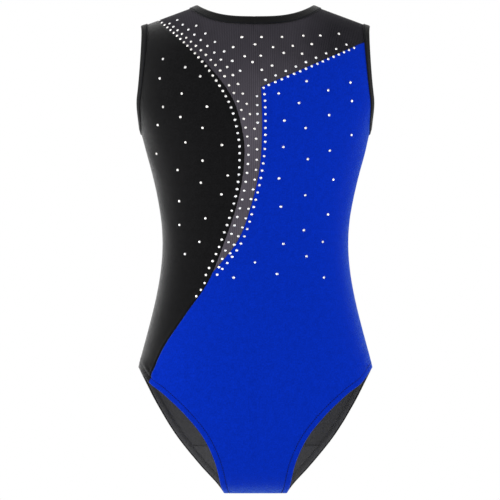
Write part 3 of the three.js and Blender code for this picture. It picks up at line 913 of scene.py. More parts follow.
def add_crystals(form, name, spots, diameter):
    """Crystals glued on the front at points [x, height], each turned a little further."""
    base = form.settle(form.on_front(spots))
    places = form.lay(base, np.full(len(base), GLUE))
    turn = np.arange(len(base)) * GOLDEN_TURN
    along = np.stack([np.cos(turn), 0 * turn, np.sin(turn)], -1)
    points, polygons = crystal_shape()
    size = diameter * (1 + 0.05 * np.sin(turn * 3.1))
    glint = 0.5 + 0.5 * np.sin(turn * 5.3)
    return add_copies(
        name, points, polygons, places, frames_on(form, base, along),
        np.tile(size[:, None], (1, 3)), glint,
    )


def stations(start, end, first, last, rate):
    """Places along a seam whose pitch grows from first towards last as crystals are counted."""
    count = np.arange(400)
    pitch = last - (last - first) * np.exp(-count / rate)
    at = start + np.concatenate([[0], np.cumsum(pitch[:-1])])
    return at[at < end]


def beside(seam, distance, at):
    """Points [x, height] beside a line on the front, to the right of someone who walks along it if
    the distance is positive. The distance is one number or one for each place."""
    way = way_along(seam)
    along = unit(np.gradient(seam, axis=0))
    spot = np.stack([np.interp(at, way, seam[:, k]) for k in range(2)], -1)
    aim = np.stack([np.interp(at, way, along[:, k]) for k in range(2)], -1)
    across = unit(np.stack([aim[:, 1], -aim[:, 0]], -1))
    return spot + across * np.asarray(distance * np.ones(len(at)))[:, None]


def gap_to(line, spots):
    """The shortest way, seen from the front, from each spot to the points of a line."""
    return np.linalg.norm(spots[:, None] - line[None], axis=2).min(1)


def staggered(start, end, pitch, rows, wander, seed):
    """Loose spots [x, height] from start to end across: rows at the given heights, every other one
    moved over by half a pitch, and each spot moved by a seeded random step, up to wander."""
    across = np.arange(start, end, pitch)
    x = across[None, :] + 0.5 * pitch * (np.arange(len(rows)) % 2)[:, None]
    spots = np.stack([x, np.broadcast_to(rows[:, None], x.shape)], -1).reshape(-1, 2)
    return spots + np.random.default_rng(seed).uniform(-wander, wander, spots.shape)


def thinned(spots, least):
    """The spots without those that lie nearer than least to one that comes before them."""
    apart = np.linalg.norm(spots[:, None] - spots[None], axis=2)
    return spots[~np.any(np.tril(apart < least, -1), axis=1)]

# ---------------------------------------------------------------- finishes


def new_material(name):
    """A material with its node tree and its one shader."""
    material = bpy.data.materials.new(name)
    material.use_nodes = True
    tree = material.node_tree
    return material, tree, tree.nodes["Principled BSDF"]


def node(tree, kind, links=None, values=None, **settings):
    """A node with its settings, its constant inputs and what its inputs are linked to."""
    made = tree.nodes.new(kind)
    for key, value in settings.items():
        setattr(made, key, value)
    for key, value in (values or {}).items():
        made.inputs[key].default_value = value
    for key, source in (links or {}).items():
        tree.links.new(source, made.inputs[key])
    return made


def mixed(tree, factor, first, second, blend="MIX"):
    """A colour between two, each of which is a colour or another node's output."""
    mix = node(tree, "ShaderNodeMix", data_type="RGBA", blend_type=blend)
    for socket, value in ((mix.inputs[0], factor), (mix.inputs[6], first), (mix.inputs[7], second)):
        if isinstance(value, bpy.types.NodeSocket):
            tree.links.new(value, socket)
        else:
            socket.default_value = value
    return mix.outputs[2]


def rgba(value, share=1.0):
    """A colour property as four numbers, made lighter or darker by a share."""
    return (*(min(1.0, c * share) for c in value), 1.0)


def knit_height(tree, wale, course, grain):
    """Height of a weft knit: upright wales, rows of loops across them and a fuzz of fibre."""
    uv = node(tree, "ShaderNodeUVMap", uv_map="cloth").outputs[0]
    wales = node(tree, "ShaderNodeTexWave", {"Vector": uv},
                 {"Scale": 0.314 / wale, "Distortion": 0.6, "Detail": 1.0, "Detail Scale": 0.8},
                 bands_direction="X")
    rows = node(tree, "ShaderNodeTexWave", {"Vector": uv},
                {"Scale": 0.314 / course, "Distortion": 0.8, "Detail": 1.0, "Detail Scale": 0.8},
                bands_direction="Y")
    fuzz = node(tree, "ShaderNodeTexNoise", {"Vector": uv},
                {"Scale": 1 / grain, "Detail": 4.0, "Roughness": 0.65})
    loops = node(tree, "ShaderNodeMath", {0: wales.outputs["Fac"], 1: rows.outputs["Fac"]},
                 operation="MULTIPLY")
    add = node(tree, "ShaderNodeMath", {0: loops.outputs[0], 1: fuzz.outputs["Fac"]},
               operation="ADD")
    return add.outputs[0], fuzz.outputs["Fac"], uv


def knit(name, light, dark, roughness, sheen, wale=0.0007, course=0.0006, depth=0.0003,
         specular=0.2, tint=(1, 1, 1, 1), sheen_roughness=0.16):
    """Stretch knit: fine loops, fibre fuzz, a mottle in the dye and a sheen of its fibres.

    Light and dark are the colours at the tops of the loops and in their shade."""
    material, tree, shader = new_material(name)
    height, fuzz, uv = knit_height(tree, wale, course, 0.0017)

    slow = node(tree, "ShaderNodeTexNoise", {"Vector": uv},
                {"Scale": 150.0, "Detail": 3.0, "Roughness": 0.6})
    both = node(tree, "ShaderNodeMath", {0: slow.outputs["Fac"], 1: fuzz, 2: fuzz},
                operation="MULTIPLY_ADD")
    ramp = node(tree, "ShaderNodeMapRange", {"Value": both.outputs[0]},
                {"From Min": 0.52, "From Max": 0.98, "To Min": 0.0, "To Max": 1.0})
    tree.links.new(mixed(tree, ramp.outputs[0], dark, light), shader.inputs["Base Color"])
    rough = node(tree, "ShaderNodeMapRange", {"Value": fuzz},
                 {"To Min": roughness - 0.06, "To Max": roughness + 0.08})
    tree.links.new(rough.outputs[0], shader.inputs["Roughness"])
    bump = node(tree, "ShaderNodeBump", {"Height": height}, {"Strength": 0.5, "Distance": depth})
    tree.links.new(bump.outputs[0], shader.inputs["Normal"])
    shader.inputs["Specular IOR Level"].default_value = specular
    shader.inputs["Sheen Weight"].default_value = sheen
    shader.inputs["Sheen Roughness"].default_value = sheen_roughness
    shader.inputs["Sheen Tint"].default_value = tint
    return material


def net(name, yoke, strip):
    """Stretch mesh: upright ribs of fine yarn with small openings between them, and lighter where
    the tint attribute is high, which on the yoke is painted light through the mesh. A little of
    what lies behind shows through the openings."""
    material, tree, shader = new_material(name)
    uv = node(tree, "ShaderNodeUVMap", uv_map="cloth").outputs[0]
    ribs = node(tree, "ShaderNodeTexWave", {"Vector": uv},
                {"Scale": 0.314 / 0.0021, "Distortion": 0.5, "Detail": 1.0, "Detail Scale": 0.6},
                bands_direction="X")
    rungs = node(tree, "ShaderNodeTexWave", {"Vector": uv},
                 {"Scale": 0.314 / 0.0012, "Distortion": 0.5, "Detail": 1.0, "Detail Scale": 0.6},
                 bands_direction="DIAGONAL")
    slow = node(tree, "ShaderNodeTexNoise", {"Vector": uv}, {"Scale": 55.0, "Detail": 3.0})
    weave = node(tree, "ShaderNodeMath", {0: ribs.outputs["Fac"], 1: rungs.outputs["Fac"]},
                 {2: 0.0}, operation="MULTIPLY_ADD")
    part = node(tree, "ShaderNodeAttribute", attribute_name="tint").outputs["Fac"]
    body = mixed(tree, part, rgba(yoke), rgba(strip))
    shade = node(tree, "ShaderNodeMapRange", {"Value": ribs.outputs["Fac"]},
                 {"To Min": 0.72, "To Max": 1.18})
    dyed = node(tree, "ShaderNodeMapRange", {"Value": slow.outputs["Fac"]},
                {"From Min": 0.3, "From Max": 0.7, "To Min": 0.92, "To Max": 1.08})
    both = node(tree, "ShaderNodeMath", {0: shade.outputs[0], 1: dyed.outputs[0]},
                operation="MULTIPLY")
    scale = node(tree, "ShaderNodeVectorMath", {0: body, 3: both.outputs[0]}, operation="SCALE")
    tree.links.new(scale.outputs[0], shader.inputs["Base Color"])
    holes = node(tree, "ShaderNodeMapRange", {"Value": weave.outputs[0]},
                 {"From Min": 0.0, "From Max": 0.5, "To Min": 0.95, "To Max": 1.0})
    tree.links.new(holes.outputs[0], shader.inputs["Alpha"])
    bump = node(tree, "ShaderNodeBump", {"Height": weave.outputs[0]},
                {"Strength": 0.5, "Distance": 0.0002})
    tree.links.new(bump.outputs[0], shader.inputs["Normal"])
    shader.inputs["Roughness"].default_value = 0.62
    shader.inputs["Specular IOR Level"].default_value = 0.04
    shader.inputs["Sheen Weight"].default_value = 0.08
    shader.inputs["Sheen Roughness"].default_value = 0.16
    return material


def thread_finish(name, light, dark):
    """Spun thread: strands twisted round it show as fine slanting bands."""
    material, tree, shader = new_material(name)
    place = node(tree, "ShaderNodeTexCoord").outputs["Object"]
    twist = node(tree, "ShaderNodeTexWave", {"Vector": place},
                 {"Scale": 0.314 / 0.0006, "Distortion": 2.0}, bands_direction="DIAGONAL")
    tree.links.new(mixed(tree, twist.outputs["Fac"], dark, light), shader.inputs["Base Color"])
    bump = node(tree, "ShaderNodeBump", {"Height": twist.outputs["Fac"]},
                {"Strength": 0.5, "Distance": 0.0001})
    tree.links.new(bump.outputs[0], shader.inputs["Normal"])
    shader.inputs["Roughness"].default_value = 0.6
    shader.inputs["Specular IOR Level"].default_value = 0.05
    return material


def overlock_finish(name, light, dark):
    """Overlocked edge: slanting loops of thread across the seam allowance."""
    material, tree, shader = new_material(name)
    uv = node(tree, "ShaderNodeUVMap", uv_map="cloth").outputs[0]
    loops = node(tree, "ShaderNodeTexWave", {"Vector": uv},
                 {"Scale": 0.314 / 0.0024, "Distortion": 1.2}, bands_direction="Y")
    fine = node(tree, "ShaderNodeTexNoise", {"Vector": uv}, {"Scale": 1400.0, "Detail": 3.0})
    tree.links.new(mixed(tree, loops.outputs["Fac"], dark, light), shader.inputs["Base Color"])
    add = node(tree, "ShaderNodeMath", {0: loops.outputs["Fac"], 1: fine.outputs["Fac"]},
               operation="ADD")
    bump = node(tree, "ShaderNodeBump", {"Height": add.outputs[0]},
                {"Strength": 0.6, "Distance": 0.0003})
    tree.links.new(bump.outputs[0], shader.inputs["Normal"])
    shader.inputs["Roughness"].default_value = 0.75
    shader.inputs["Specular IOR Level"].default_value = 0.2
    return material


def crystal_finish(name, glass):
    """Foiled glass: mirror-like facets, some copies of a cooler and some of a warmer white."""
    material, tree, shader = new_material(name)
    part = node(tree, "ShaderNodeAttribute", attribute_name="tint").outputs["Fac"]
    cool = rgba(glass)
    warm = (cool[0], cool[1] * 0.96, cool[2] * 0.90, 1.0)
    place = node(tree, "ShaderNodeTexCoord").outputs["Object"]
    # A fine noise scales the foil from 0.78 to 1 across the facets: painted glints, some facets
    # brighter than others.
    glint = node(tree, "ShaderNodeTexNoise", {"Vector": place}, {"Scale": 900.0, "Detail": 1.0})
    foil = node(tree, "ShaderNodeMapRange", {"Value": glint.outputs["Fac"]},
                {"From Min": 0.35, "From Max": 0.65, "To Min": 0.78, "To Max": 1.0})
    scale = node(tree, "ShaderNodeVectorMath",
                 {0: mixed(tree, part, cool, warm), 3: foil.outputs[0]}, operation="SCALE")
    tree.links.new(scale.outputs[0], shader.inputs["Base Color"])
    shader.inputs["Metallic"].default_value = 0.85
    shader.inputs["Roughness"].default_value = 0.12
    shader.inputs["Coat Weight"].default_value = 0.6
    shader.inputs["Coat Roughness"].default_value = 0.03
    return material


def finish_named(name):
    """The named finish, made once."""
    made = bpy.data.materials.get(name)
    if made:
        return made
    c = bpy.context.scene.leotard_colours
    black, blue = rgba(c.black, 1.45), rgba(c.blue, 1.20)
    deep_black, deep_blue = rgba(c.black, 0.60), rgba(c.blue, 0.84)
    sky_blue = (0.22, 0.5, 1.0, 1)
    recipes = {
        "black_stretch": lambda n: knit(
            n, black, deep_black, 0.42, 0.52, specular=0.02, sheen_roughness=0.31),
        "blue_stretch": lambda n: knit(
            n, blue, deep_blue, 0.42, 0.60, specular=0.004, tint=sky_blue, sheen_roughness=0.25),
        "wrong_side": lambda n: knit(
            n, rgba(c.inside, 1.06), rgba(c.inside, 0.9), 0.8, 0.05, specular=0.1),
        "wrong_side_blue": lambda n: knit(
            n, rgba(c.inside_blue, 1.08), rgba(c.inside_blue, 0.9), 0.8, 0.05, specular=0.1),
        "binding_knit": lambda n: knit(
            n, rgba(c.black, 1.0), rgba(c.black, 0.6), 0.36, 0.10, wale=0.0008, course=0.0008,
            specular=0.08),
        "lining_knit": lambda n: knit(
            n, rgba(c.lining, 1.1), rgba(c.lining, 0.85), 0.85, 0.1, specular=0.1),
        "elastic_rib": lambda n: knit(
            n, rgba(c.elastic, 1.25), rgba(c.elastic, 0.6), 0.7, 0.05, wale=0.0013,
            course=0.0009, depth=0.0003),
        "yoke_mesh": lambda n: net(n, c.net, c.net_strip),
        "black_thread": lambda n: thread_finish(n, rgba(c.thread, 1.6), rgba(c.thread, 0.6)),
        "overlock": lambda n: overlock_finish(n, rgba(c.thread, 2.2), rgba(c.thread, 0.8)),
        "foiled_crystal": lambda n: crystal_finish(n, c.crystal),
    }
    return recipes[name](name)


# ---------------------------------------------------------------- pieces


class Pattern:
    """The form with its lines on it, and the lines where the cloth panels stop."""

    def __init__(self, scene):
        self.making = scene.leotard_making
        self.form = Form(scene.leotard_sizes)
        self.lines = Lines(self.form)
        form, lines = self.form, self.lines
        self.black = lines.black_seam()
        self.black = self.black[self.black[:, 1] < form.ridge(self.black[:, 0]) - 1e-4]
        self.blue = lines.blue_edge()
        self.yoke = lines.yoke()
        self.black_on = form.on_front(self.black)
        self.blue_on = form.on_front(self.blue)
        self.yoke_on = form.on_front(
            self.yoke[np.abs(self.yoke[:, 0]) < form.half_width(self.yoke[:, 1]) - 0.001]
        )
        tuck = UNDER_THE_BINDING
        self.neck_edge = walk(form, spaced(lines.neck(), 560, True), [-tuck])[0]
        self.arm_edge = {
            flank: walk(form, spaced(lines.arm(flank), 300, True), [-tuck])[0]
            for flank in (-1, 1)
        }
        self.leg_edge = {flank: self.cloth_end_in_hem(flank) for flank in (-1, 1)}
        self.side_on = {flank: lines.side_seam(flank) for flank in (-1, 1)}
        self.shoulder_on = {flank: lines.shoulder_seam(flank) for flank in (-1, 1)}
        self.crotch_on = lines.crotch_seam()

    def cloth_end_in_hem(self, flank):
        """The end of the cloth in a leg hem, which reaches nearer the fold beside the side seam:
        the shallow line counts for more as the height comes up to the hip, as a bell curve."""
        edge = spaced(self.lines.leg(flank), 500, True)
        deep, shallow = (walk(self.form, edge, [way])[0] for way in (-CLOTH_IN_HEM, -CLOTH_AT_SIDE))
        near = np.exp(-(((self.form.hip - edge[:, 2]) / 0.012) ** 2))[:, None]
        return deep + (shallow - deep) * near

    def part_of(self, edge, side):
        """The points of an edge that lie in front of, or behind, the side seams."""
        return edge[edge[:, 1] * side > -1e-6]

    def half_edge(self, edge, side, flank):
        """The points of the neck edge on one side and one flank."""
        part = self.part_of(edge, side)
        part = part[part[:, 0] * flank > 0]
        return part[np.argsort(self.form.to_chart(part)[1])]

    def openings(self, side):
        """Edges that stop the cloth on the right and on the left of one side of the garment."""
        right = [self.part_of(self.leg_edge[-1], side), self.part_of(self.arm_edge[-1], side)]
        left = [self.part_of(self.leg_edge[1], side), self.part_of(self.arm_edge[1], side)]
        return right, left

    def cross_seams(self):
        """The seams that join the front to the back."""
        return [*self.side_on.values(), *self.shoulder_on.values(), self.crotch_on]


def make_blue_front(scene):
    """The blue panel: right of the black seam and the blue edge, and under the yoke line."""
    p = Pattern(scene)
    form = p.form
    stops, ends = p.openings(FRONT)
    left_lines = [*stops, p.black_on, p.blue_on, p.yoke_on]
    highest = form.to_chart(p.yoke_on)[1].max()
    low, high = reach_of(form, left_lines, ends, form.fold_level, highest)
    crowded = [form.hip + 0.0005, form.underarm, form.to_chart(p.blue_on[:1])[1][0]]
    levels = rows_between(low, high, p.making.grid * 0.85, crowded)
    left, right = span(form, levels, left_lines, ends)
    seams = [p.black_on, p.blue_on, p.yoke_on, *p.cross_seams()]
    cloth = Cloth(form, p.lines, seams, [p.leg_edge[-1], p.leg_edge[1]])
    cloth.add(FRONT, levels, left, right, 2 * p.making.columns)
    piece = cloth.make("blue_front_cloth", p.making.cloth)
    finishes = [finish_named("blue_stretch"), finish_named("wrong_side_blue")]
    finish_piece(piece, finishes, ["front_blue_panel"])


def make_black_front(scene):
    """The black panel: left of the black seam, from the right leg opening up to the shoulder."""
    p = Pattern(scene)
    form = p.form
    stops, _ = p.openings(FRONT)
    lowest = form.to_chart(p.black_on)[1].min()
    low, _ = reach_of(form, stops, [p.black_on], lowest, form.ridge_level)
    levels = rows_between(low, form.ridge_level, p.making.grid, [form.hip + 0.0005, form.underarm])
    left, right = span(form, levels, stops, [p.black_on])
    top = form.to_chart(p.black_on[:1])[0][0]
    right = np.where(right > 1.5, top, right)
    seams = [p.black_on, *p.cross_seams()]
    cloth = Cloth(form, p.lines, seams, [p.leg_edge[-1]])
    cloth.add(FRONT, levels, left, right, int(1.4 * p.making.columns))
    piece = cloth.make("black_front_cloth", p.making.cloth)
    finishes = [finish_named("black_stretch"), finish_named("wrong_side")]
    finish_piece(piece, finishes, ["front_black_panel"])


def make_mesh_front(scene):
    """The mesh: between the black seam and the blue edge, widening into the yoke to the neck.

    Two grids share a middle column, which stands in the middle of the strip below the apex and
    moves to the middle of the garment at the neck; above the neckline they part."""
    p = Pattern(scene)
    form = p.form
    _, ends = p.openings(FRONT)
    right_lines = [p.blue_on, p.yoke_on]
    neck = {flank: p.half_edge(p.neck_edge, FRONT, flank) for flank in (-1, 1)}
    neck_level = min(form.to_chart(n)[1].min() for n in neck.values())
    lowest = form.to_chart(p.blue_on)[1].min()
    low, _ = reach_of(form, [p.black_on], right_lines, lowest, form.underarm)
    apex = form.to_chart(p.blue_on[:1])[1][0]
    levels = rows_between(low, form.ridge_level, p.making.grid, [apex, neck_level, form.underarm])
    left, right = span(form, levels, [p.black_on], [ends[1]])
    for line in right_lines:
        right = np.minimum(right, limit(form, line, levels, SIDE, 0.0001))
    top = form.to_chart(p.black_on[:1])[0][0]
    left = np.where(left < -1.5, top, left)
    strip = (left + limit(form, p.blue_on, levels, 0)) / 2
    at_apex = (np.interp(apex, levels, left) + form.to_chart(p.blue_on[:1])[0][0]) / 2
    share = ease((levels - apex) / (neck_level - 0.004 - apex))
    middle = np.where(levels < apex, strip, at_apex * (1 - share))
    cloth = Cloth(form, p.lines, [p.black_on, p.blue_on, p.yoke_on, *p.cross_seams()], [])
    halves = []
    for flank, outer in ((-1, left), (1, right)):
        inner = np.where(
            levels < neck_level, middle, limit(form, neck[flank], levels, 0)
        )
        count = p.making.columns
        a, b = (outer, inner) if flank < 0 else (inner, outer)
        halves.append(cloth.add(FRONT, levels, a, b, count))
    chart = np.concatenate(cloth.charts)
    x = form.from_chart(FRONT, chart[:, 0], chart[:, 1])[:, 0]
    # The tint is 1 on the strip below the underarm. On the yoke it is painted light: lighter over the
    # middle, where the room's light would show through the back's scoop, and darker towards the
    # shoulders, where the back panel lies behind, most on the wearer's left.
    low_share = 1 - ease((chart[:, 1] - form.underarm + 0.01) / 0.09)
    yoke_painted_backlight = 0.06 + 0.27 * (1 - ease((x - 0.04) / 0.05)) - 0.10 * ease((-x - 0.06) / 0.04)
    strip_and_painted_backlight = low_share + (1 - low_share) * yoke_painted_backlight
    piece = cloth.make("mesh_front_cloth", 0.0006, {"tint": strip_and_painted_backlight})
    finish_piece(piece, [finish_named("yoke_mesh")], ["front_mesh_panel"])
    piece.modifiers["Cloth"].material_offset = 0


def make_back(scene):
    """The back: one panel from the crotch to the shoulders, cut out at the neck in a scoop."""
    p = Pattern(scene)
    form = p.form
    stops, ends = p.openings(BACK)
    neck = {flank: p.half_edge(p.neck_edge, BACK, flank) for flank in (-1, 1)}
    neck_level = min(form.to_chart(n)[1].min() for n in neck.values())
    crowded = [form.hip + 0.0005, form.underarm, neck_level]
    levels = rows_between(form.fold_level, form.ridge_level, p.making.grid, crowded)
    left, right = span(form, levels, stops, ends)
    cloth = Cloth(form, p.lines, p.cross_seams(), [p.leg_edge[-1], p.leg_edge[1]])
    for flank, outer in ((-1, left), (1, right)):
        inner = np.where(levels < neck_level, 0, limit(form, neck[flank], levels, 0))
        a, b = (outer, inner) if flank < 0 else (inner, outer)
        cloth.add(BACK, levels, a, b, p.making.columns)
    piece = cloth.make("black_back_cloth", p.making.cloth)
    finishes = [finish_named("black_stretch"), finish_named("wrong_side")]
    finish_piece(piece, finishes, ["back_panel"])


def make_lining(scene):
    """The crotch lining: a patch inside the crotch, over its seam, between the leg hems."""
    p = Pattern(scene)
    form = p.form
    inner = {
        flank: walk(form, spaced(p.lines.leg(flank), 500, True), [-0.0083])[0]
        for flank in (-1, 1)
    }

    def under_seam(level):
        """The lining lies close to the cloth and passes under the crotch seam."""
        return -0.00105 - 0.00135 * np.exp(-(((level - form.fold_level) / 0.008) ** 2))

    cloth = Cloth(form, p.lines, [], [], offset=under_seam)
    for side, top in ((FRONT, 0.088), (BACK, 0.052)):
        high = form.to_chart(form.on_front([[0.0, top]], side))[1][0]
        levels = rows_between(form.fold_level, high, p.making.grid, [])
        left, right = span(
            form, levels, [p.part_of(inner[-1], side)], [p.part_of(inner[1], side)]
        )
        cloth.add(side, levels, left, right, p.making.columns)
    piece = cloth.make("crotch_lining_cloth", 0.0007)
    finish_piece(piece, [finish_named("lining_knit")], ["crotch_lining"])
    piece.modifiers["Cloth"].material_offset = 0


def make_bindings(scene):
    """The neck and armhole bindings: a band folded over each raw edge and topstitched."""
    p = Pattern(scene)
    edges = [("neck", p.lines.neck(), p.making.neck_binding, "neck_binding")]
    for word, flank in (("right", -1), ("left", 1)):
        edges.append((f"armhole_{word}", p.lines.arm(flank), p.making.arm_binding,
                      f"armhole_binding_{word}"))
    for word, edge, width, cad in edges:
        total = np.linalg.norm(np.roll(edge, -1, 0) - edge, axis=1).sum()
        edge = p.form.settle(spaced(edge, int(total / 0.0011), True))
        section = scaled(BINDING_SECTION, width / MM)
        points = swept(p.form, edge, section, True, 0.00010, p.making.stitch_pitch,
                       width - p.making.from_edge)
        piece = add_loop(f"{word}_band", points)
        finish_piece(piece, [finish_named("binding_knit")], [cad])


def make_hems(scene):
    """The leg hems: the body cloth folded to the inside over an elastic."""
    p = Pattern(scene)
    for word, flank in (("right", -1), ("left", 1)):
        edge = p.form.settle(spaced(p.lines.leg(flank), 460, True))
        points = swept(p.form, edge, HEM_SECTION, True, 0.00010, p.making.stitch_pitch, 0.0068)
        front = edge[:, 1] < 0
        if flank < 0:
            seam = np.interp(edge[:, 2], p.black[::-1, 1], p.black[::-1, 0])
            front = front & (edge[:, 0] > seam)
        hem = add_loop(f"leg_{word}_hem", points)
        turned_in = np.array([k in HEM_INSIDE for k in range(len(HEM_SECTION))])
        face = np.where(turned_in[:, None], 2, front[None].astype(np.int32))
        hem.data.polygons.foreach_set("material_index", face.ravel().astype(np.int32))
        finishes = [finish_named(n) for n in ("black_stretch", "blue_stretch", "wrong_side")]
        finish_piece(hem, finishes, [f"leg_hem_{word}"])
        band = add_loop(f"leg_{word}_elastic", swept(p.form, edge, ELASTIC_SECTION))
        finish_piece(band, [finish_named("elastic_rib")], [f"leg_elastic_{word}"])


def make_stitching(scene):
    """The topstitching of the bindings and of the leg hems."""
    p = Pattern(scene)
    making = p.making
    rows = [("neck", p.lines.neck(), making.neck_binding, 0.00095, "neck_binding_stitching")]
    for word, flank in (("right", -1), ("left", 1)):
        rows.append((f"armhole_{word}", p.lines.arm(flank), making.arm_binding, 0.00095,
                     f"armhole_stitching_{word}"))
        rows.append((f"leg_{word}", p.lines.leg(flank), making.leg_hem, 0.00002,
                     f"leg_hem_stitching_{word}"))
    for word, edge, width, height, cad in rows:
        edge = p.form.settle(spaced(edge, 400, True))
        inset = width - making.from_edge
        piece = add_stitches(p.form, f"{word}_stitches", edge, inset, height, making)
        finish_piece(piece, [finish_named("black_thread")], [cad])


def add_seam(p, name, cad, path):
    """One seam's allowances, overlocked together: a flat bar inside the cloth along its path."""
    total = way_along(path)[-1]
    count = max(8, int(total / 0.0012))
    line = p.form.settle(spaced(path, count))
    section = scaled(SEAM_SECTION, p.making.allowance / MM)
    inset, height = (np.array(v) * MM for v in zip(*section))
    rows = walk(p.form, line, list(inset), closed=False)
    wave = np.sin(2 * math.pi * way_along(line) / 0.0026)
    edge_share = (np.abs(inset) > 0.8 * p.making.allowance)[:, None]
    points = p.form.lay(rows, height[:, None] + 0.00008 * wave * edge_share)
    piece = add_bar(name, points)
    return finish_piece(piece, [finish_named("overlock")], [cad])


def make_seams(scene):
    """The seams inside the garment."""
    p = Pattern(scene)
    form = p.form
    tip = p.blue[-1, 1]

    def short_of(line, edge, margin):
        """The line up to where it comes within a margin of an opening's edge."""
        gap = nearness(line, [edge])
        line = line[: gap.argmin()]
        return line[nearness(line, [edge]) > margin]

    black = short_of(p.black_on, p.lines.leg(-1), CLEAR_OF_EDGE)
    black = black[np.abs(black[:, 1]) > 0.0055]
    add_seam(p, "black_to_mesh_overlock", "black_to_mesh_seam", black[black[:, 2] > tip + 0.0006])
    add_seam(p, "black_to_blue_overlock", "black_to_blue_seam", black[black[:, 2] < tip - 0.0006])
    free = (nearness(p.blue_on, [p.black_on]) > 0.0066) & (nearness(p.blue_on, [p.yoke_on]) > 0.0036)
    add_seam(p, "mesh_to_blue_edge_overlock", "mesh_to_blue_edge_seam", p.blue_on[free])
    yoke = short_of(p.yoke_on, p.lines.arm(1), CLEAR_OF_EDGE)
    add_seam(p, "mesh_to_blue_yoke_overlock", "mesh_to_blue_yoke_seam", yoke)
    for word, flank in (("right", -1), ("left", 1)):
        side = p.side_on[flank]
        above_hem = side[:, 2] > form.hip + CLEAR_OF_EDGE
        side = side[above_hem & (side[:, 2] < form.underarm - CLEAR_OF_EDGE)]
        add_seam(p, f"side_{word}_overlock", f"side_seam_{word}", side)
        top = p.shoulder_on[flank]
        neck_gap = nearness(top, [p.lines.neck()])
        arm_gap = nearness(top, [p.lines.arm(flank)])
        keep = (neck_gap > 0.0105) & (arm_gap > CLEAR_OF_EDGE) & (np.abs(top[:, 0]) > 0.074)
        add_seam(p, f"shoulder_{word}_overlock", f"shoulder_seam_{word}", top[keep])
    half = form.s.crotch_half - CLEAR_OF_EDGE
    crotch = p.crotch_on[np.abs(p.crotch_on[:, 0]) < half]
    add_seam(p, "crotch_overlock", "crotch_seam", crotch)


def inside_edges(p, spots, margin):
    """Which spots lie inside the side seams, the armhole bindings and the shoulder ridge."""
    x, height = spots.T
    clear = np.abs(x) < p.form.half_width(height) - margin
    clear &= height < p.form.ridge(x) - margin
    for flank in (-1, 1):
        arm = p.part_of(p.arm_edge[flank], FRONT)
        arm = arm[np.argsort(arm[:, 2])]
        inner = flank * np.interp(height, arm[:, 2], arm[:, 0])
        clear &= flank * x < inner - p.making.arm_binding - 0.0015
    return clear


def loose_on_black(p):
    """Loose crystals on the black panel, in rows that lie further apart on the way down."""
    rows = 0.506 - stations(0, 0.263, 0.0110, 0.0175, 9)
    spots = staggered(-0.104, -0.010, 0.046, rows, 0.0055, BLACK_SEED)
    seam = np.interp(-spots[:, 1], -p.black[:, 1], p.black[:, 0])
    clear = (spots[:, 0] < seam) & (gap_to(p.black, spots) > CLEAR_OF_ROW)
    return spots[clear & inside_edges(p, spots, 0.008)]


def loose_on_blue(p):
    """Loose crystals on the blue panel, below the yoke, further apart on the way down."""
    rows = 0.468 - stations(0, 0.238, 0.0115, 0.0215, 8)
    spots = staggered(-0.024, 0.125, 0.052, rows, 0.0060, BLUE_SEED)
    edge = np.interp(-spots[:, 1], -p.blue[:, 1], p.blue[:, 0])
    under = np.interp(spots[:, 0], p.yoke[:, 0], p.yoke[:, 1]) - spots[:, 1]
    clear = (spots[:, 0] > edge) & (gap_to(p.blue, spots) > CLEAR_OF_ROW) & (under > 0.011)
    return spots[clear & inside_edges(p, spots, 0.012)]


def loose_on_yoke(p):
    """Loose crystals on the mesh above the yoke seam, in rows that thin out towards the neck."""
    rows = 0.461 + stations(0, 0.052, 0.0066, 0.0135, 4)
    spots = staggered(-0.024, 0.105, 0.0215, rows, 0.0026, YOKE_SEED)
    neck = p.part_of(p.neck_edge, FRONT)
    neck = neck[np.argsort(neck[:, 0])]
    below_neck = np.interp(spots[:, 0], neck[:, 0], neck[:, 2]) - spots[:, 1]
    above = spots[:, 1] - np.interp(spots[:, 0], p.yoke[:, 0], p.yoke[:, 1])
    clear = (gap_to(p.black, spots) > 0.031) & (above > 0.0125)
    clear &= below_neck > p.making.neck_binding + 0.007
    return spots[clear & inside_edges(p, spots, 0.010)]


def row_on_black(p, tip_at):
    """The row inside the black seam. Its pitch grows on the way down, and its distance from the
    seam is a sum of eased steps: out to 5.5 mm over the chest, then back in towards the tip."""
    row = stations(0.0010, tip_at + 0.030, 0.0037, 0.0093, 20)
    set_in = -0.0014 + 0.0069 * ease((row - 0.015) / 0.11) - 0.0018 * ease((row - 0.18) / 0.05)
    set_in = set_in + 0.0018 * ease((row - 0.29) / 0.03) - 0.0034 * ease((row - 0.325) / 0.012)
    on_seam = row < way_along(p.black)[-1]
    return beside(p.black, set_in[on_seam], row[on_seam])


def rows_on_blue(p):
    """The rows inside the blue edge and the yoke seam, the first of them by eased steps too."""
    row = stations(0.0010, way_along(p.blue)[-1] + 0.002, 0.0071, 0.0089, 16)
    set_in = 0.0026 + 0.0011 * ease(row / 0.014) - 0.0006 * ease((row - 0.06) / 0.03)
    set_in = set_in + 0.0024 * ease((row - 0.125) / 0.08)
    under_yoke = stations(0.0085, 0.113, 0.0080, 0.0052, 12)
    return np.concatenate([beside(p.blue, -set_in, row), beside(p.yoke, 0.0013, under_yoke)])


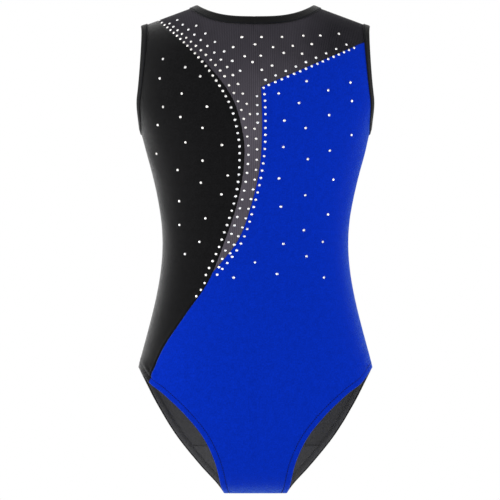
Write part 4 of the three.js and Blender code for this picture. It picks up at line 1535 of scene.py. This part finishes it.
def rows_on_mesh(p, tip_at):
    """Lines of crystals on the mesh. Three run along the black seam at the top and two, staggered,
    in the narrow strip below. One short line starts down the blue edge, one is above the yoke."""
    near = stations(0.012, 0.100, 0.0056, 0.0086, 8)
    near_below = np.arange(0.106, tip_at - 0.004, 0.0098)
    middle = stations(0.016, 0.150, 0.0078, 0.0112, 6)
    middle_below = np.arange(0.158, tip_at - 0.022, 0.0104)
    outer = stations(0.036, 0.106, 0.0132, 0.0120, 6)
    return np.concatenate([
        beside(p.black, -0.0062, near),
        beside(p.black, -0.0042, near_below),
        beside(p.black, -0.0146 + 0.0025 * ease((middle - 0.09) / 0.04), middle),
        beside(p.black, -0.0136 + 0.0040 * ease((middle_below - 0.255) / 0.05), middle_below),
        beside(p.black, -0.0235, outer),
        beside(p.blue, 0.0050, np.arange(0.010, 0.052, 0.0098)),
        beside(p.yoke, -0.0054, np.arange(0.0075, 0.108, 0.0122)),
        loose_on_yoke(p),
    ])


def make_crystals(scene):
    """The crystals: rows beside the seams, lines on the mesh and a loose scatter."""
    p = Pattern(scene)
    size = p.making.crystal
    tip_at = np.interp(-p.blue[-1, 1], -p.black[:, 1], way_along(p.black))
    sets = {
        "crystals_black_edge": row_on_black(p, tip_at),
        "crystals_blue_edge": rows_on_blue(p),
        "crystals_black_scatter": loose_on_black(p),
        "crystals_blue_scatter": loose_on_blue(p),
        "crystals_mesh": thinned(rows_on_mesh(p, tip_at), 1.8 * size),
    }
    for name, spots in sets.items():
        piece = add_crystals(p.form, name, spots, size)
        finish_piece(piece, [finish_named("foiled_crystal")])


def make_stage(scene):
    """The pale floor, the white room, soft side lights, a soft front light and the camera."""
    studio = scene.leotard_studio
    colours = scene.leotard_colours
    world = bpy.data.worlds.new("White room")
    world.use_nodes = True
    backdrop = world.node_tree.nodes["Background"]
    backdrop.inputs["Color"].default_value = (1, 1, 1, 1)
    backdrop.inputs["Strength"].default_value = studio.sky
    scene.world = world
    side = np.linspace(-4, 4, 9)
    x, y = (g.ravel() for g in np.meshgrid(side, side))
    points = np.stack([x, y, np.full(len(x), -studio.floor_drop)], -1)
    floor = add_piece("studio_floor", points, lattice(9, 9)[0].tolist())
    material, tree, shader = new_material("pale_floor")
    place = node(tree, "ShaderNodeTexCoord").outputs["Object"]
    cloud = node(tree, "ShaderNodeTexNoise", {"Vector": place}, {"Scale": 1.5, "Detail": 2.0})
    tree.links.new(
        mixed(tree, cloud.outputs["Fac"], rgba(colours.floor, 0.99), rgba(colours.floor, 1.0)),
        shader.inputs["Base Color"],
    )
    shader.inputs["Roughness"].default_value = 0.9
    floor.data.materials.append(material)
    for name, place, size, power in (
        ("Right side light", (-1.7, -0.25, 0.45), (0.9, 1.6), studio.side_light),
        ("Left side light", (1.7, -0.25, 0.45), (0.9, 1.6), studio.side_light),
        ("Front light", (-1.5, -2.0, 0.2), (1.6, 1.4), studio.front_light),
    ):
        light = bpy.data.lights.new(name, "AREA")
        light.shape = "RECTANGLE"
        light.size, light.size_y = size
        light.energy = power
        lamp = bpy.data.objects.new(name, light)
        lamp.location = place
        aim = np.array([0, 0, 0.28]) - np.array(place)
        lamp.rotation_euler = Vector(aim).to_track_quat("-Z", "Y").to_euler()
        lamp.visible_camera = False
        scene.collection.objects.link(lamp)
    camera = bpy.data.cameras.new("Camera")
    camera.sensor_width = 36
    camera.lens = 36 * studio.distance / studio.view_width
    camera.clip_start, camera.clip_end = 1, 60
    eye = bpy.data.objects.new("Camera", camera)
    eye.location = (studio.view_side, -studio.distance, studio.view_height)
    eye.rotation_euler = (math.pi / 2, 0, 0)
    scene.collection.objects.link(eye)
    scene.camera = eye
    scene.view_settings.view_transform = "Standard"


# ---------------------------------------------------------------- the add-on


class LEOTARD_OT_blue_front(Operator):
    """Make the blue front panel"""

    bl_idname = "leotard.blue_front"
    bl_label = "Blue front"

    def execute(self, context):
        make_blue_front(context.scene)
        return {"FINISHED"}


class LEOTARD_OT_black_front(Operator):
    """Make the black front panel"""

    bl_idname = "leotard.black_front"
    bl_label = "Black front"

    def execute(self, context):
        make_black_front(context.scene)
        return {"FINISHED"}


class LEOTARD_OT_mesh_front(Operator):
    """Make the mesh strip and yoke"""

    bl_idname = "leotard.mesh_front"
    bl_label = "Mesh yoke"

    def execute(self, context):
        make_mesh_front(context.scene)
        return {"FINISHED"}


class LEOTARD_OT_back(Operator):
    """Make the back panel"""

    bl_idname = "leotard.back"
    bl_label = "Back"

    def execute(self, context):
        make_back(context.scene)
        return {"FINISHED"}


class LEOTARD_OT_lining(Operator):
    """Make the crotch lining"""

    bl_idname = "leotard.lining"
    bl_label = "Crotch lining"

    def execute(self, context):
        make_lining(context.scene)
        return {"FINISHED"}


class LEOTARD_OT_bindings(Operator):
    """Make the neck and armhole bindings"""

    bl_idname = "leotard.bindings"
    bl_label = "Bindings"

    def execute(self, context):
        make_bindings(context.scene)
        return {"FINISHED"}


class LEOTARD_OT_hems(Operator):
    """Make the leg hems and their elastics"""

    bl_idname = "leotard.hems"
    bl_label = "Leg hems"

    def execute(self, context):
        make_hems(context.scene)
        return {"FINISHED"}


class LEOTARD_OT_stitching(Operator):
    """Make the topstitching"""

    bl_idname = "leotard.stitching"
    bl_label = "Stitching"

    def execute(self, context):
        make_stitching(context.scene)
        return {"FINISHED"}


class LEOTARD_OT_seams(Operator):
    """Make the seams inside the garment"""

    bl_idname = "leotard.seams"
    bl_label = "Seams"

    def execute(self, context):
        make_seams(context.scene)
        return {"FINISHED"}


class LEOTARD_OT_crystals(Operator):
    """Make the crystals"""

    bl_idname = "leotard.crystals"
    bl_label = "Crystals"

    def execute(self, context):
        make_crystals(context.scene)
        return {"FINISHED"}


class LEOTARD_OT_stage(Operator):
    """Make the floor, the lights and the camera"""

    bl_idname = "leotard.stage"
    bl_label = "Stage"

    def execute(self, context):
        make_stage(context.scene)
        return {"FINISHED"}


OPERATORS = (
    LEOTARD_OT_stage,
    LEOTARD_OT_blue_front,
    LEOTARD_OT_black_front,
    LEOTARD_OT_mesh_front,
    LEOTARD_OT_back,
    LEOTARD_OT_lining,
    LEOTARD_OT_bindings,
    LEOTARD_OT_hems,
    LEOTARD_OT_stitching,
    LEOTARD_OT_seams,
    LEOTARD_OT_crystals,
)
GROUPS = {
    "leotard_sizes": LeotardSizes,
    "leotard_making": LeotardMaking,
    "leotard_colours": LeotardColours,
    "leotard_studio": LeotardStudio,
}


class LEOTARD_PT_panel(Panel):
    """Lists the leotard's operators and its sizes and colours"""

    bl_idname = "LEOTARD_PT_panel"
    bl_label = "Leotard"
    bl_space_type = "VIEW_3D"
    bl_region_type = "UI"
    bl_category = "Leotard"

    def draw(self, context):
        for operator in OPERATORS:
            self.layout.operator(operator.bl_idname)
        for key, group in GROUPS.items():
            box = self.layout.box()
            for field in group.__annotations__:
                box.prop(getattr(context.scene, key), field)


def register():
    for group in GROUPS.values():
        bpy.utils.register_class(group)
    for key, group in GROUPS.items():
        setattr(bpy.types.Scene, key, PointerProperty(type=group))
    for operator in OPERATORS:
        bpy.utils.register_class(operator)
    bpy.utils.register_class(LEOTARD_PT_panel)


def unregister():
    bpy.utils.unregister_class(LEOTARD_PT_panel)
    for operator in reversed(OPERATORS):
        bpy.utils.unregister_class(operator)
    for key in GROUPS:
        delattr(bpy.types.Scene, key)
    for group in reversed(GROUPS.values()):
        bpy.utils.unregister_class(group)


def main():
    """Makes every piece."""
    register()
    for operator in OPERATORS:
        family, name = operator.bl_idname.split(".")
        getattr(getattr(bpy.ops, family), name)()


if __name__ == "__main__":
    main()
